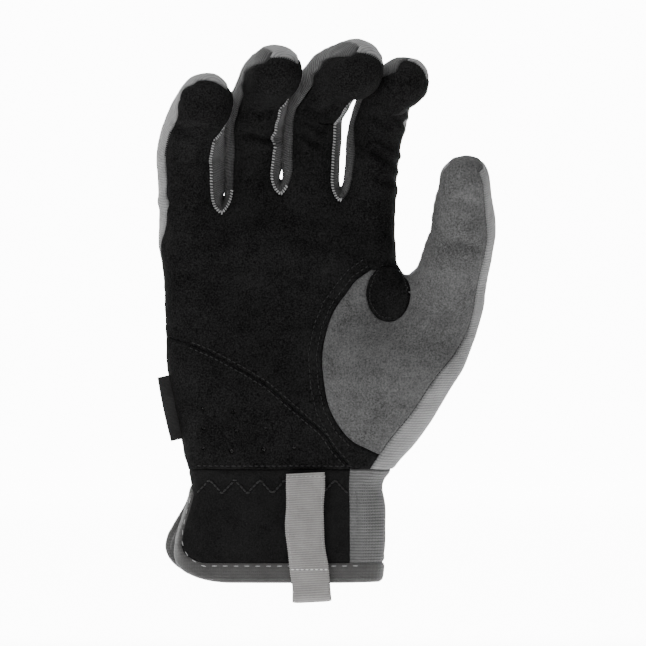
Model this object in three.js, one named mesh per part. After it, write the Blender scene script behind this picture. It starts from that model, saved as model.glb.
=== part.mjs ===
import * as THREE from 'three';

// A right-hand mechanic glove that keeps the shape of the hand in it. Millimetres.
// Fingers point up (+Z), the palm faces -Y and the thumb stands at +X. The origin is
// the middle of the hem, where the wrist goes in.

// Driving sizes
const cuffHeight = 47.3; // hem to wrist seam
const palmHeight = 111.3; // wrist seam to the line of the finger crotches
const palmDepth = 40; // palm at its thickest, back to front
const knuckleWidth = 101.7; // across the four finger roots
const fingerLength = 85; // the middle finger from its root to its tip, along its bends
const thumbLength = 66; // thumb crotch to thumb tip
const thumbWidth = 25.5;
const clothWall = 1.2; // stretch cloth of the back, the gussets and the cuff
const suedeWall = 1.4; // palm, heel, thumb and crotch pieces
const bindingWall = 2.6; // cloth folded round the edge and stitched
const bindingWidth = 8;
const seamGap = 0.3; // between two neighbouring pieces
const seamBevel = 0.35; // how much further back the wall's inner edge stands, of the wall
const webbingWidth = 16;
const webbingWall = 1.5;
const loopDrop = 8.4; // how far the pull loop hangs below the hem
const loopReach = 46; // hem to the loop's stitched top end
const loopDepth = 8.5; // the loop's two legs, outside to outside
const bindingLift = 0.5; // how far the binding stands proud of the cuff
const loopTuck = 12; // how far up inside the cuff the pull loop is sewn
const loopClear = 0.8; // between the webbing and the cuff's edge
const loopPlace = { across: 0.12, tilt: 2.8 }; // share of knuckle width, degrees
const labelPlace = { up: 0.235, round: 1.3, turn: 26, clear: 0.7 };
const labelWidth = 4.8; // what stands out of the seam
const labelHeight = 27.5;
const labelWall = 1.2;
const ventHeight = 37; // how far the open vent at the little finger's side runs up
const ventFlare = { front: 1, back: 6, apart: 3, reach: 0.12 }; // how its edges stand out
const ventCorner = { along: 30, front: 17, back: 25 }; // where it meets the hem, round

// One row a finger. share is the room it takes of the knuckle width, long its length as
// a share of the middle finger's, girth its width as a share of its room, crotch the
// height of its left crotch above the knuckle line as a share of the palm height. Curl
// bends it to the palm, lean to the thumb: degrees in its root, middle and tip lengths.
// full is how much fuller the back half of its left and right side is, tip how much of
// its width is left at the end.
const fingers = [
  { name: 'little', share: 0.2891, long: 0.8, girth: 0.91, crotch: -0.077,
    curl: [12, 30, 56], lean: [-3, 13, 22], twist: [0, 4, 10], full: [0, 0.13], tip: 0.88 },
  { name: 'ring', share: 0.2321, long: 0.94, girth: 0.98, crotch: -0.04,
    curl: [12, 38, 76], lean: [1.6, 13, 23], twist: [0, 4, 8], full: [0.13, 0.07], tip: 0.98 },
  { name: 'middle', share: 0.2458, long: 1, girth: 0.97, crotch: 0.047,
    curl: [13, 50, 80], lean: [3.2, 22, 38], twist: [0, 8, 18], full: [0.07, 0], tip: 0.98 },
  { name: 'index', share: 0.233, long: 0.865, girth: 0.98, crotch: 0.009,
    curl: [8, 28, 60], lean: [6, 15, 34], twist: [0, 18, 36], full: [0, 0], tip: 0.92 },
];
for (const finger of fingers) {
  finger.room = finger.share * knuckleWidth;
  finger.length = finger.long * fingerLength;
}
const fingerGap = 0.5; // between a finger's side and the middle of its crotch
const outerCrotch = -0.05; // the index finger's outer root, as the crotch column
const knuckleLeft = -0.529 * knuckleWidth; // the wrist's middle stands at x = 0

// How a finger's width and depth run from root to tip, as shares of its width.
const fingerForm = [
  { at: -0.3, wide: 1.1, deep: 1.2 },
  { at: 0, wide: 1.03, deep: 1.1 },
  { at: 0.2, wide: 0.98, deep: 1.06 },
  { at: 0.4, wide: 0.98, deep: 1.03 },
  { at: 0.48, wide: 1.0, deep: 1.0 },
  { at: 0.6, wide: 1.0, deep: 1.05 },
  { at: 0.7, wide: 0.98, deep: 1.02 },
  { at: 0.85, wide: 0.99, deep: 1.03 },
  { at: 1, wide: 0.98, deep: 1.02 },
];
const middleJoint = 0.44; // where the finger's length bends first
const tipJoint = 0.7;
const bendSpan = 0.16; // length over which a bend is spread
const capShare = 0.15; // the round end, as a share of the length
const fullness = { start: 0.12, rise: 0.16, fade: 0.2, end: 0.65, depth: 0.35 };

// The thumb, in the same columns.
const thumb = {
  name: 'thumb', length: thumbLength, curl: [22, 26, 32], lean: [16, 1, 2], twist: [0, 0, 0],
  full: [0, 0], tip: 1,
};
const thumbForm = [
  { at: -0.5, wide: 1.5, deep: 1.35 },
  { at: -0.2, wide: 1.42, deep: 1.2 },
  { at: 0, wide: 1.36, deep: 1.06 },
  { at: 0.2, wide: 1.18, deep: 0.98 },
  { at: 0.4, wide: 1.1, deep: 0.97 },
  { at: 0.6, wide: 1.02, deep: 0.94 },
  { at: 0.8, wide: 0.87, deep: 0.82 },
  { at: 1, wide: 0.76, deep: 0.68 },
];
const thumbBase = { across: 0.665, forward: 0.46 }; // shares of knuckle width, palm depth

// Sections of the hand from the wrist seam (0) to the knuckle line (1). left, split,
// right and seam are shares of the knuckle width: the little finger's side, the line
// where the thumb leaves the palm, the thumb's outer side, and how far in from it the
// thumb's outer seam runs. depth and forward are shares of the palm depth.
const handForm = [
  { at: -0.425, left: -0.425, split: 0.305, right: 0.412, seam: 0.1, depth: 1.04, forward: 0.03 },
  { at: -0.35, left: -0.436, split: 0.305, right: 0.42, seam: 0.1, depth: 1.05, forward: 0.03 },
  { at: -0.24, left: -0.428, split: 0.305, right: 0.428, seam: 0.1, depth: 1.05, forward: 0.03 },
  { at: -0.13, left: -0.396, split: 0.303, right: 0.425, seam: 0.1, depth: 1.03, forward: 0.04 },
  { at: -0.06, left: -0.38, split: 0.3, right: 0.415, seam: 0.1, depth: 1.0, forward: 0.06 },
  { at: 0, left: -0.39, split: 0.3, right: 0.457, seam: 0.105, depth: 1.02, forward: 0.09 },
  { at: 0.1, left: -0.413, split: 0.325, right: 0.55, seam: 0.115, depth: 1.04, forward: 0.17 },
  { at: 0.23, left: -0.444, split: 0.375, right: 0.649, seam: 0.1, depth: 1.05, forward: 0.26 },
  { at: 0.375, left: -0.475, split: 0.42, right: 0.743, seam: 0.098, depth: 1.02, forward: 0.36 },
  { at: 0.51, left: -0.482, split: 0.46, right: 0.796, seam: 0.074, depth: 0.97, forward: 0.44 },
  { at: 0.66, left: -0.488, split: 0.5, right: 0.836, seam: 0.054, depth: 0.9, forward: 0.5 },
  { at: 0.785, left: -0.5, split: 0.479, right: 0.86, seam: 0.05, depth: 0.84, forward: 0.5 },
  { at: 0.887, left: -0.52, split: 0.471, right: 0.87, seam: 0.05, depth: 0.8, forward: 0.5 },
  { at: 1, left: -0.529, split: 0.471, right: 0.87, seam: 0.05, depth: 0.74, forward: 0.5 },
];
const thumbCrotch = 0.68; // height of the thumb crotch, share of the palm height
const thumbFall = 0.08; // the thumb's outer side starts this much lower
const palmArch = 0.1; // the knuckle line curves forward at its ends, share of depth

// Dents and swells of the hand: middle across (share of knuckle width) and up (share of
// the palm height), half spans as the same shares, height as a share of the depth.
const swells = [
  { face: 'front', across: 0.02, up: 0.56, wide: 0.24, tall: 0.24, rise: -0.13 },
  { face: 'front', across: -0.3, up: 0.26, wide: 0.14, tall: 0.26, rise: 0.07 },
  { face: 'front', across: 0.4, up: 0.36, wide: 0.2, tall: 0.24, rise: 0.1 },
  { face: 'front', across: 0.0, up: 0.84, wide: 0.4, tall: 0.05, rise: 0.03 },
  { face: 'front', across: 0.12, up: 0.12, wide: 0.07, tall: 0.2, rise: -0.05 },
  { face: 'back', across: -0.4, up: 0.84, wide: 0.07, tall: 0.1, rise: 0.05 },
  { face: 'back', across: -0.16, up: 0.88, wide: 0.07, tall: 0.1, rise: 0.06 },
  { face: 'back', across: 0.08, up: 0.9, wide: 0.07, tall: 0.1, rise: 0.07 },
  { face: 'back', across: 0.33, up: 0.87, wide: 0.07, tall: 0.1, rise: 0.06 },
  { face: 'back', across: 0.5, up: 0.5, wide: 0.12, tall: 0.2, rise: -0.08 },
];

// Seams drawn on the palm's face. The thumb piece's inner edge, up as a share of the
// palm height, across as a share of the knuckle width; then the heel piece's top edge.
const thumbEdge = [
  { up: 0.05, across: 0.41 },
  { up: 0.077, across: 0.35 },
  { up: 0.103, across: 0.293 },
  { up: 0.153, across: 0.24 },
  { up: 0.228, across: 0.194 },
  { up: 0.32, across: 0.171 },
  { up: 0.429, across: 0.163 },
  { up: 0.537, across: 0.186 },
  { up: 0.608, across: 0.219 },
  { up: 0.666, across: 0.265 },
  { up: 0.714, across: 0.306 },
  { up: 0.755, across: 0.37 },
];
const heelEdge = [
  { across: -0.6, up: 0.52 },
  { across: -0.467, up: 0.497 },
  { across: -0.38, up: 0.471 },
  { across: -0.293, up: 0.438 },
  { across: -0.215, up: 0.4 },
  { across: -0.149, up: 0.367 },
  { across: -0.062, up: 0.318 },
  { across: 0.062, up: 0.22 },
  { across: 0.169, up: 0.138 },
  { across: 0.214, up: 0.077 },
  { across: 0.27, up: 0.02 },
  { across: 0.34, up: -0.06 },
  { across: 0.9, up: -0.6 },
];
const crotchPatch = { across: 0.437, up: 0.665, wide: 0.088, tall: 0.105 };
const sideSeam = [
  { at: 0, fromFront: 2 },
  { at: 0.72, fromFront: 2 },
  { at: 0.93, fromFront: 0.2 },
  { at: 1.02, fromFront: 0 },
  { at: 2, fromFront: 0 },
];

// How fine the faces are: steps across a finger, round its side, and up each stretch.
const fingerSteps = 4;
const sideSteps = 4;
const handRows = 11;
const upperRows = 5;
const rowHeight = 6.4;
const capRows = 2;
const cuffRows = 7;
const gussetStep = sideSteps / 2 + fingerSteps * fingers.length; // cuff steps on the palm
const elastic = { up: 0.72, tall: 0.25, gather: 0.5 }; // where the cuff is drawn in

const degree = Math.PI / 180;
const clamp = (value) => Math.min(Math.max(value, 0), 1);
const ease = (value) => clamp(value) ** 2 * (3 - 2 * clamp(value));
const mix = (a, b, share) => a + (b - a) * share;

// Reads one column of a table at a place along it, smoothly.
function read(table, key, place, column) {
  const last = table.length - 1;
  let i = 0;
  while (i < last - 1 && place > table[i + 1][key]) i += 1;
  const slope = (k) => {
    const before = table[Math.max(k - 1, 0)];
    const after = table[Math.min(k + 1, last)];
    return (after[column] - before[column]) / (after[key] - before[key]);
  };
  const span = table[i + 1][key] - table[i][key];
  const t = clamp((place - table[i][key]) / span);
  const turn = ease(t);
  const lead = t * (1 - t) ** 2 * slope(i) * span;
  const trail = t * t * (1 - t) * slope(i + 1) * span;
  return mix(table[i][column], table[i + 1][column], turn) + lead - trail;
}

// The depth of a rounded section at a share of its half width, and the reverse.
const roundness = 2.5;
const bow = (share, power = roundness) => (1 - Math.min(Math.abs(share), 1) ** power) ** (1 / power);

const knuckleZ = cuffHeight + palmHeight;
const upShare = (z) => (z - cuffHeight) / palmHeight;

function handSection(z, lobe) {
  const row = (column) => read(handForm, 'at', upShare(z), column);
  const left = knuckleWidth * row('left');
  const right = knuckleWidth * row(lobe ? 'split' : 'right');
  return {
    left,
    right,
    middle: (left + right) / 2,
    half: (right - left) / 2,
    depth: (palmDepth * row('depth')) / 2,
    forward: lobe ? 0 : palmDepth * row('forward'),
    seam: right - knuckleWidth * row('seam'),
  };
}

// The middle surface of the hand bends forward to the thumb and at the knuckles' ends.
function middleY(section, x) {
  const toThumb = ease((x - 0.1 * knuckleWidth) / (section.right - 0.1 * knuckleWidth));
  const arch = palmArch * palmDepth * ((2 * x) / knuckleWidth) ** 2 * Math.sign(1 - toThumb);
  return -section.forward * toThumb - Math.min(arch, palmArch * palmDepth);
}

function handPoint(x, y01, z, lobe) {
  const section = handSection(z, lobe);
  let y = middleY(section, x) + y01 * section.depth;
  for (const swell of swells) {
    const facing = swell.face === 'front' ? -1 : 1;
    if (facing * y01 <= 0) continue;
    const across = (x / knuckleWidth - swell.across) / swell.wide;
    const up = (upShare(z) - swell.up) / swell.tall;
    y += facing * swell.rise * palmDepth * Math.exp(-(across ** 2) - up ** 2) * Math.abs(y01);
  }
  return new THREE.Vector3(x, y, z);
}

// The bent middle line of a finger or the thumb, from its root, with the directions
// across it and to the palm's side.
function bentLine(digit, root) {
  const steps = 60;
  const blend = (values, s) => {
    const first = ease((s - middleJoint) / bendSpan + 0.5);
    const second = ease((s - tipJoint) / bendSpan + 0.5);
    return mix(mix(values[0], values[1], first), values[2], second) * degree;
  };
  const along = (s) => {
    const curl = blend(digit.curl, s);
    const lean = blend(digit.lean, s);
    const aim = new THREE.Vector3(
      Math.sin(lean),
      -Math.cos(lean) * Math.sin(curl),
      Math.cos(lean) * Math.cos(curl),
    );
    const across = new THREE.Vector3(
      Math.cos(lean),
      Math.sin(lean) * Math.sin(curl),
      -Math.sin(lean) * Math.cos(curl),
    );
    const palmar = new THREE.Vector3(0, -Math.cos(curl), -Math.sin(curl));
    const twist = blend(digit.twist, s);
    across.applyAxisAngle(aim, -twist);
    palmar.applyAxisAngle(aim, -twist);
    return { aim, across, palmar };
  };
  const line = [root.clone()];
  for (let i = 0; i < steps; i += 1) {
    const { aim } = along((i + 0.5) / steps);
    line.push(line[i].clone().addScaledVector(aim, digit.length / steps));
  }
  return (s) => {
    const frame = along(s);
    const place = clamp(s) * steps;
    const i = Math.min(Math.floor(place), steps - 1);
    const centre = line[i].clone().lerp(line[i + 1], place - i);
    const beyond = s < 0 ? s : 0;
    centre.addScaledVector(frame.aim, beyond * digit.length);
    return { centre, ...frame };
  };
}

// A point on a digit: X and Y are shares of its half width and half depth, Y < 0 to the
// palm's side. Where two fingers stand side by side their backs are fuller than their
// fronts, so that the gussets close the gap between them.
function digitPoint(digit, s, X, Y) {
  const frame = digit.line(s);
  const taper = mix(1, digit.tip, ease((s - middleJoint) / (1 - capShare - middleJoint)));
  const wide = (digit.width * taper * read(digit.form, 'at', s, 'wide')) / 2;
  const deep = (digit.width * read(digit.form, 'at', s, 'deep')) / 2;
  const along = ease((s - fullness.start) / fullness.rise) * ease((fullness.end - s) / fullness.fade);
  const behind = ease((Y + fullness.depth) / (2 * fullness.depth));
  const full = digit.full[X < 0 ? 0 : 1] * along * behind;
  return frame.centre
    .addScaledVector(frame.across, wide * X * (1 + full))
    .addScaledVector(frame.palmar, -deep * Y);
}

// Vertices and faces of the whole outer skin. Each face says where on the glove it is.
const points = [];
const faces = [];

function addPoint(position) {
  points.push(position);
  return points.length - 1;
}

function addFace(corners, zone, side, column) {
  faces.push({ corners, zone, side, column });
}

// A ring lists its points once round: front, right side, back, left side.
function joinRings(low, high, frontSteps, zone) {
  const parts = [
    ['front', frontSteps],
    ['right', sideSteps],
    ['back', frontSteps],
    ['left', sideSteps],
  ];
  let i = 0;
  for (const [side, steps] of parts) {
    for (let k = 0; k < steps; k += 1) {
      const j = (i + 1) % low.length;
      addFace([low[i], low[j], high[j], high[i]], zone, side, k);
      i += 1;
    }
  }
}

// Shares of half width and half depth once round a section, from its front left corner.
function roundShares(corner, steps, power) {
  const list = [];
  const cornerDepth = bow(corner, power);
  for (let k = 0; k < steps; k += 1) list.push([mix(-corner, corner, k / steps), -1]);
  for (let k = 0; k < sideSteps; k += 1) list.push([1, mix(-cornerDepth, cornerDepth, k / sideSteps)]);
  for (let k = 0; k < steps; k += 1) list.push([mix(corner, -corner, k / steps), 1]);
  for (let k = 0; k < sideSteps; k += 1) list.push([-1, mix(cornerDepth, -cornerDepth, k / sideSteps)]);
  return list.map(([X, Y], index) => {
    const onFace = index < steps || (index >= steps + sideSteps && index < 2 * steps + sideSteps);
    return onFace ? [X, Y * bow(X, power)] : [X * bow(Y, power), Y];
  });
}

const digitCorner = 0.74;
const digitPower = 2.15;
const digitShares = roundShares(digitCorner, fingerSteps, digitPower);

// Columns across the front and the back: four for each finger, then four for the thumb.
const palmColumns = fingerSteps * fingers.length;
const allColumns = palmColumns + fingerSteps;
const sideInset = 0.03;
const columnShare = [];
let roomSoFar = 0;
for (const finger of fingers) {
  for (let k = 0; k < fingerSteps; k += 1) {
    columnShare.push((roomSoFar + (finger.room * k) / fingerSteps) / knuckleWidth);
  }
  roomSoFar += finger.room;
}
columnShare[0] = sideInset;
columnShare.push(1 - sideInset);

const crotchHeights = [...fingers.map((finger) => finger.crotch), outerCrotch]
  .map((crotch, index) => ({ column: index * fingerSteps, height: crotch }));
const rootZ = (column) => knuckleZ + palmHeight * read(crotchHeights, 'column', column, 'height');
const crotchZ = (column) => {
  const overThumb = Math.max(column - palmColumns, 0) / fingerSteps;
  return cuffHeight + palmHeight * (thumbCrotch - thumbFall * overThumb);
};

// The digits' middle lines start on the hand's middle surface.
let fingerStart = knuckleLeft;
fingers.forEach((finger, index) => {
  finger.width = finger.room * finger.girth;
  finger.form = fingerForm;
  fingerStart += finger.room;
  const x = fingerStart - fingerGap - finger.width / 2;
  const z = rootZ((index + 0.5) * fingerSteps);
  finger.line = bentLine(finger, new THREE.Vector3(x, middleY(handSection(z, true), x), z));
});
thumb.width = thumbWidth;
thumb.form = thumbForm;
thumb.line = bentLine(thumb, new THREE.Vector3(
  thumbBase.across * knuckleWidth,
  -thumbBase.forward * palmDepth,
  crotchZ(palmColumns + fingerSteps / 2),
));

// One point of the hand below the thumb crotch, or of the palm above it.
function handRingPoint(face, column, z, lobe) {
  const section = handSection(z, lobe);
  const split = handSection(z, true).right;
  let x = mix(section.left, split, columnShare[Math.min(column, palmColumns)]);
  if (column > palmColumns) x = mix(x, section.seam, (column - palmColumns) / fingerSteps);
  const share = (x - section.middle) / section.half;
  return handPoint(x, face * bow(share), z, lobe);
}

function handSidePoint(side, k, z, lobe) {
  const section = handSection(z, lobe);
  const lastColumn = lobe ? palmColumns : allColumns;
  const edge = handRingPoint(1, side > 0 ? lastColumn : 0, z, lobe);
  const cornerDepth = bow((edge.x - section.middle) / section.half);
  const turn = mix(-cornerDepth, cornerDepth, k / sideSteps);
  const x = section.middle + side * section.half * bow(turn);
  return handPoint(x, turn, z, lobe);
}

// Once round the hand at one row; heights may differ from column to column.
function handRing(heightOf, lobe) {
  const last = lobe ? palmColumns : allColumns;
  const ring = [];
  for (let c = 0; c < last; c += 1) ring.push(handRingPoint(-1, c, heightOf(c), lobe));
  for (let k = 0; k < sideSteps; k += 1) ring.push(handSidePoint(1, k, heightOf(last), lobe));
  for (let c = last; c > 0; c -= 1) ring.push(handRingPoint(1, c, heightOf(c), lobe));
  for (let k = 0; k < sideSteps; k += 1) {
    ring.push(handSidePoint(-1, sideSteps - k, heightOf(0), lobe));
  }
  return ring;
}

function digitRing(digit, stationOf) {
  return digitShares.map(([X, Y], index) => {
    const s = stationOf(index);
    return digitPoint(digit, s, X, Y);
  });
}

// The column of the hand that a ring's point stands on.
function columnOf(index, first, steps) {
  if (index <= steps) return first + index;
  if (index < steps + sideSteps) return first + steps;
  if (index <= 2 * steps + sideSteps) return first + 2 * steps + sideSteps - index;
  return first;
}

// Splits a ring of points at a column into the ring left and right of it, with new
// points across the gap that both share.
function splitRing(ring, first, last, at, bridge) {
  const steps = last - first;
  const leftSteps = at - first;
  const front = ring.slice(0, steps + 1);
  const right = ring.slice(steps + 1, steps + sideSteps);
  const back = ring.slice(steps + sideSteps, 2 * steps + sideSteps + 1);
  const left = ring.slice(2 * steps + sideSteps + 1);
  const backAt = steps - leftSteps;
  return [
    [...front.slice(0, leftSteps + 1), ...bridge, ...back.slice(backAt), ...left],
    [...front.slice(leftSteps), ...right, ...back.slice(0, backAt + 1), ...[...bridge].reverse()],
  ];
}

// Points across a crotch lie between the inner sides of the two digits that meet there.
function bridgePoints(leftRing, leftSteps, rightRing) {
  const list = [];
  for (let k = 1; k < sideSteps; k += 1) {
    const a = leftRing[leftSteps + k];
    const b = rightRing[rightRing.length - k];
    list.push(addPoint(a.clone().lerp(b, 0.5)));
  }
  return list;
}

// Rows from the wrist seam up to the thumb crotch, turning from one round section into
// the palm's and the thumb's own.
const lobeSpan = 0.3 * palmHeight;
const wristRing = [];
let ring = null;
for (let row = 0; row <= handRows; row += 1) {
  const heightOf = (column) => mix(cuffHeight, crotchZ(column), row / handRows);
  const whole = handRing(heightOf, false);
  const palm = handRing(heightOf, true);
  const steps = allColumns;
  const next = whole.map((point, index) => {
    const column = columnOf(index, 0, steps);
    const z = heightOf(column);
    const weight = ease(1 - (crotchZ(column) - z) / lobeSpan);
    const onThumb = index >= palmColumns && index <= 2 * steps + sideSteps - palmColumns;
    const palmIndex = index <= palmColumns ? index : index - 2 * fingerSteps;
    const target = new THREE.Vector3();
    if (onThumb) {
      const own = index - palmColumns;
      const s = (z - crotchZ(column)) / thumb.length;
      const [X, Y] = digitShares[own];
      target.copy(digitPoint(thumb, s, X, Y));
    }
    const onPalm = index <= palmColumns || index >= 2 * steps + sideSteps - palmColumns;
    if (onPalm && onThumb) target.lerp(palm[palmIndex], 0.5);
    else if (onPalm) target.copy(palm[palmIndex]);
    return addPoint(point.clone().lerp(target, weight));
  });
  if (ring) joinRings(ring, next, steps, 'hand');
  else wristRing.push(...next);
  ring = next;
}

// At the thumb crotch the ring parts in two.
const palmCrotchRing = handRing(crotchZ, true);
const thumbCrotchRing = digitRing(thumb, () => 0);
const thumbBridge = bridgePoints(palmCrotchRing, palmColumns, thumbCrotchRing);
const [palmRing, thumbRing] = splitRing(ring, 0, allColumns, palmColumns, thumbBridge);

// Palm rows up to the finger crotches, turning into the fingers' own round sections.
const fingerSpan = 0.13 * palmHeight;
ring = palmRing;
for (let row = 1; row <= upperRows; row += 1) {
  const heightOf = (column) => mix(crotchZ(0), rootZ(column), row / upperRows);
  const palm = handRing(heightOf, true);
  const next = palm.map((point, index) => {
    const column = columnOf(index, 0, palmColumns);
    const z = heightOf(column);
    const weight = ease(1 - (rootZ(column) - z) / fingerSpan);
    const onFront = index <= palmColumns;
    const onBack = index >= palmColumns + sideSteps && index <= 2 * palmColumns + sideSteps;
    const targets = [];
    fingers.forEach((finger, number) => {
      const own = column - number * fingerSteps;
      if (own < 0 || own > fingerSteps) return;
      const rootMiddle = rootZ((number + 0.5) * fingerSteps);
      const s = (z - rootMiddle) / finger.length;
      let place = own;
      if (onBack) place = 2 * fingerSteps + sideSteps - own;
      if (!onFront && !onBack) {
        place = index < palmColumns + sideSteps
          ? fingerSteps + (index - palmColumns)
          : 2 * fingerSteps + sideSteps + (index - 2 * palmColumns - sideSteps);
      }
      const [X, Y] = digitShares[place % digitShares.length];
      targets.push(digitPoint(finger, s, X, Y));
    });
    const target = targets[0];
    if (targets.length > 1) target.lerp(targets[1], 0.5);
    return addPoint(point.clone().lerp(target, weight));
  });
  joinRings(ring, next, palmColumns, 'palm');
  ring = next;
}

// Rows up a digit from its root ring, then its round end.
function growDigit(digit, rootRing, rootStations) {
  const straight = 1 - capShare;
  const rows = Math.max(4, Math.round((digit.length * straight) / rowHeight));
  let low = rootRing;
  for (let row = 1; row <= rows; row += 1) {
    const s = (straight * row) / rows;
    const settle = ease(1 - row / 4);
    const next = digitRing(digit, (index) => s + settle * rootStations(index)).map(addPoint);
    joinRings(low, next, fingerSteps, digit.name);
    low = next;
  }
  const capPoint = (X, Y) => {
    const reach = Math.sqrt(Math.max(1 - X * X - Y * Y, 0));
    const frame = digit.line(straight);
    return digitPoint(digit, straight, X, Y)
      .addScaledVector(frame.aim, reach * capShare * digit.length);
  };
  const ringSpan = 0.26;
  for (let row = 1; row <= capRows; row += 1) {
    const size = Math.cos((Math.PI * ringSpan * row) / capRows);
    const next = digitShares.map(([X, Y]) => addPoint(capPoint(X * size, Y * size)));
    const firstFace = faces.length;
    joinRings(low, next, fingerSteps, digit.name);
    faces.slice(firstFace).forEach((face) => { face.cap = true; });
    low = next;
  }
  const size = Math.cos(Math.PI * ringSpan);
  const edge = (index) => digitShares[index % digitShares.length];
  const grid = [];
  for (let j = 0; j <= sideSteps; j += 1) {
    const line = [];
    for (let i = 0; i <= fingerSteps; i += 1) {
      const onEdge = { front: j === 0, back: j === sideSteps, left: i === 0, right: i === fingerSteps };
      if (onEdge.front) line.push(low[i]);
      else if (onEdge.back) line.push(low[2 * fingerSteps + sideSteps - i]);
      else if (onEdge.right) line.push(low[fingerSteps + j]);
      else if (onEdge.left) line.push(low[low.length - j]);
      else {
        const front = edge(i);
        const back = edge(2 * fingerSteps + sideSteps - i);
        const right = edge(fingerSteps + j);
        const left = edge(digitShares.length - j);
        const X = (mix(front[0], back[0], j / sideSteps) + mix(left[0], right[0], i / fingerSteps)) / 2;
        const Y = (mix(front[1], back[1], j / sideSteps) + mix(left[1], right[1], i / fingerSteps)) / 2;
        line.push(addPoint(capPoint(X * size, Y * size)));
      }
    }
    grid.push(line);
  }
  for (let j = 0; j < sideSteps; j += 1) {
    for (let i = 0; i < fingerSteps; i += 1) {
      addFace([grid[j][i], grid[j][i + 1], grid[j + 1][i + 1], grid[j + 1][i]], digit.name, 'tip', j);
    }
  }
}

// Part the palm's last ring into the four finger roots.
let rest = ring;
let firstColumn = 0;
fingers.forEach((finger, number) => {
  const middleZ = rootZ((number + 0.5) * fingerSteps);
  const stationOf = (index) => {
    const column = columnOf(index, number * fingerSteps, fingerSteps);
    return (rootZ(column) - middleZ) / finger.length;
  };
  let own = rest;
  if (number < fingers.length - 1) {
    const neighbour = fingers[number + 1];
    const nextZ = rootZ((number + 1.5) * fingerSteps);
    const nextStation = (index) => {
      const column = columnOf(index, (number + 1) * fingerSteps, fingerSteps);
      return (rootZ(column) - nextZ) / neighbour.length;
    };
    const bridge = bridgePoints(digitRing(finger, stationOf), fingerSteps,
      digitRing(neighbour, nextStation));
    [own, rest] = splitRing(rest, firstColumn, palmColumns, firstColumn + fingerSteps, bridge);
    firstColumn += fingerSteps;
  }
  growDigit(finger, own, stationOf);
});
growDigit(thumb, thumbRing, () => 0);

// Evens out the skin near the crotches, where sections of different kinds meet.
const evenRounds = 8;
const softRounds = 10;
const neighbours = points.map(() => new Set());
const edgeUse = new Map();
for (const face of faces) {
  face.corners.forEach((corner, index) => {
    const after = face.corners[(index + 1) % face.corners.length];
    neighbours[corner].add(after);
    neighbours[after].add(corner);
    const key = Math.min(corner, after) + ':' + Math.max(corner, after);
    edgeUse.set(key, (edgeUse.get(key) ?? 0) + 1);
  });
}
const openEdge = new Set();
for (const [key, uses] of edgeUse) {
  if (uses === 1) key.split(':').forEach((corner) => openEdge.add(Number(corner)));
}
const crotchSpots = [{
  x: points[thumbBridge[1]].x, z: points[thumbBridge[1]].z, reach: 0.22 * palmHeight,
}];
for (let column = fingerSteps; column < palmColumns; column += fingerSteps) {
  crotchSpots.push({
    x: knuckleLeft + columnShare[column] * knuckleWidth, z: rootZ(column), reach: 0.13 * palmHeight,
  });
}
for (let round = 0; round < softRounds + 2 * evenRounds; round += 1) {
  const soft = round < softRounds;
  const step = soft || round % 2 === 0 ? 0.5 : -0.45;
  const moved = points.map((point, index) => {
    if (openEdge.has(index)) return point;
    const near = crotchSpots.map((spot) => Math.hypot(point.x - spot.x, point.z - spot.z) / spot.reach);
    const weight = step * ease(1.3 - Math.min(...near) * (soft ? 1.7 : 1));
    if (weight === 0) return point;
    const mean = new THREE.Vector3();
    neighbours[index].forEach((other) => mean.add(points[other]));
    return point.clone().lerp(mean.divideScalar(neighbours[index].size), weight);
  });
  moved.forEach((point, index) => points[index].copy(point));
}

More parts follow.
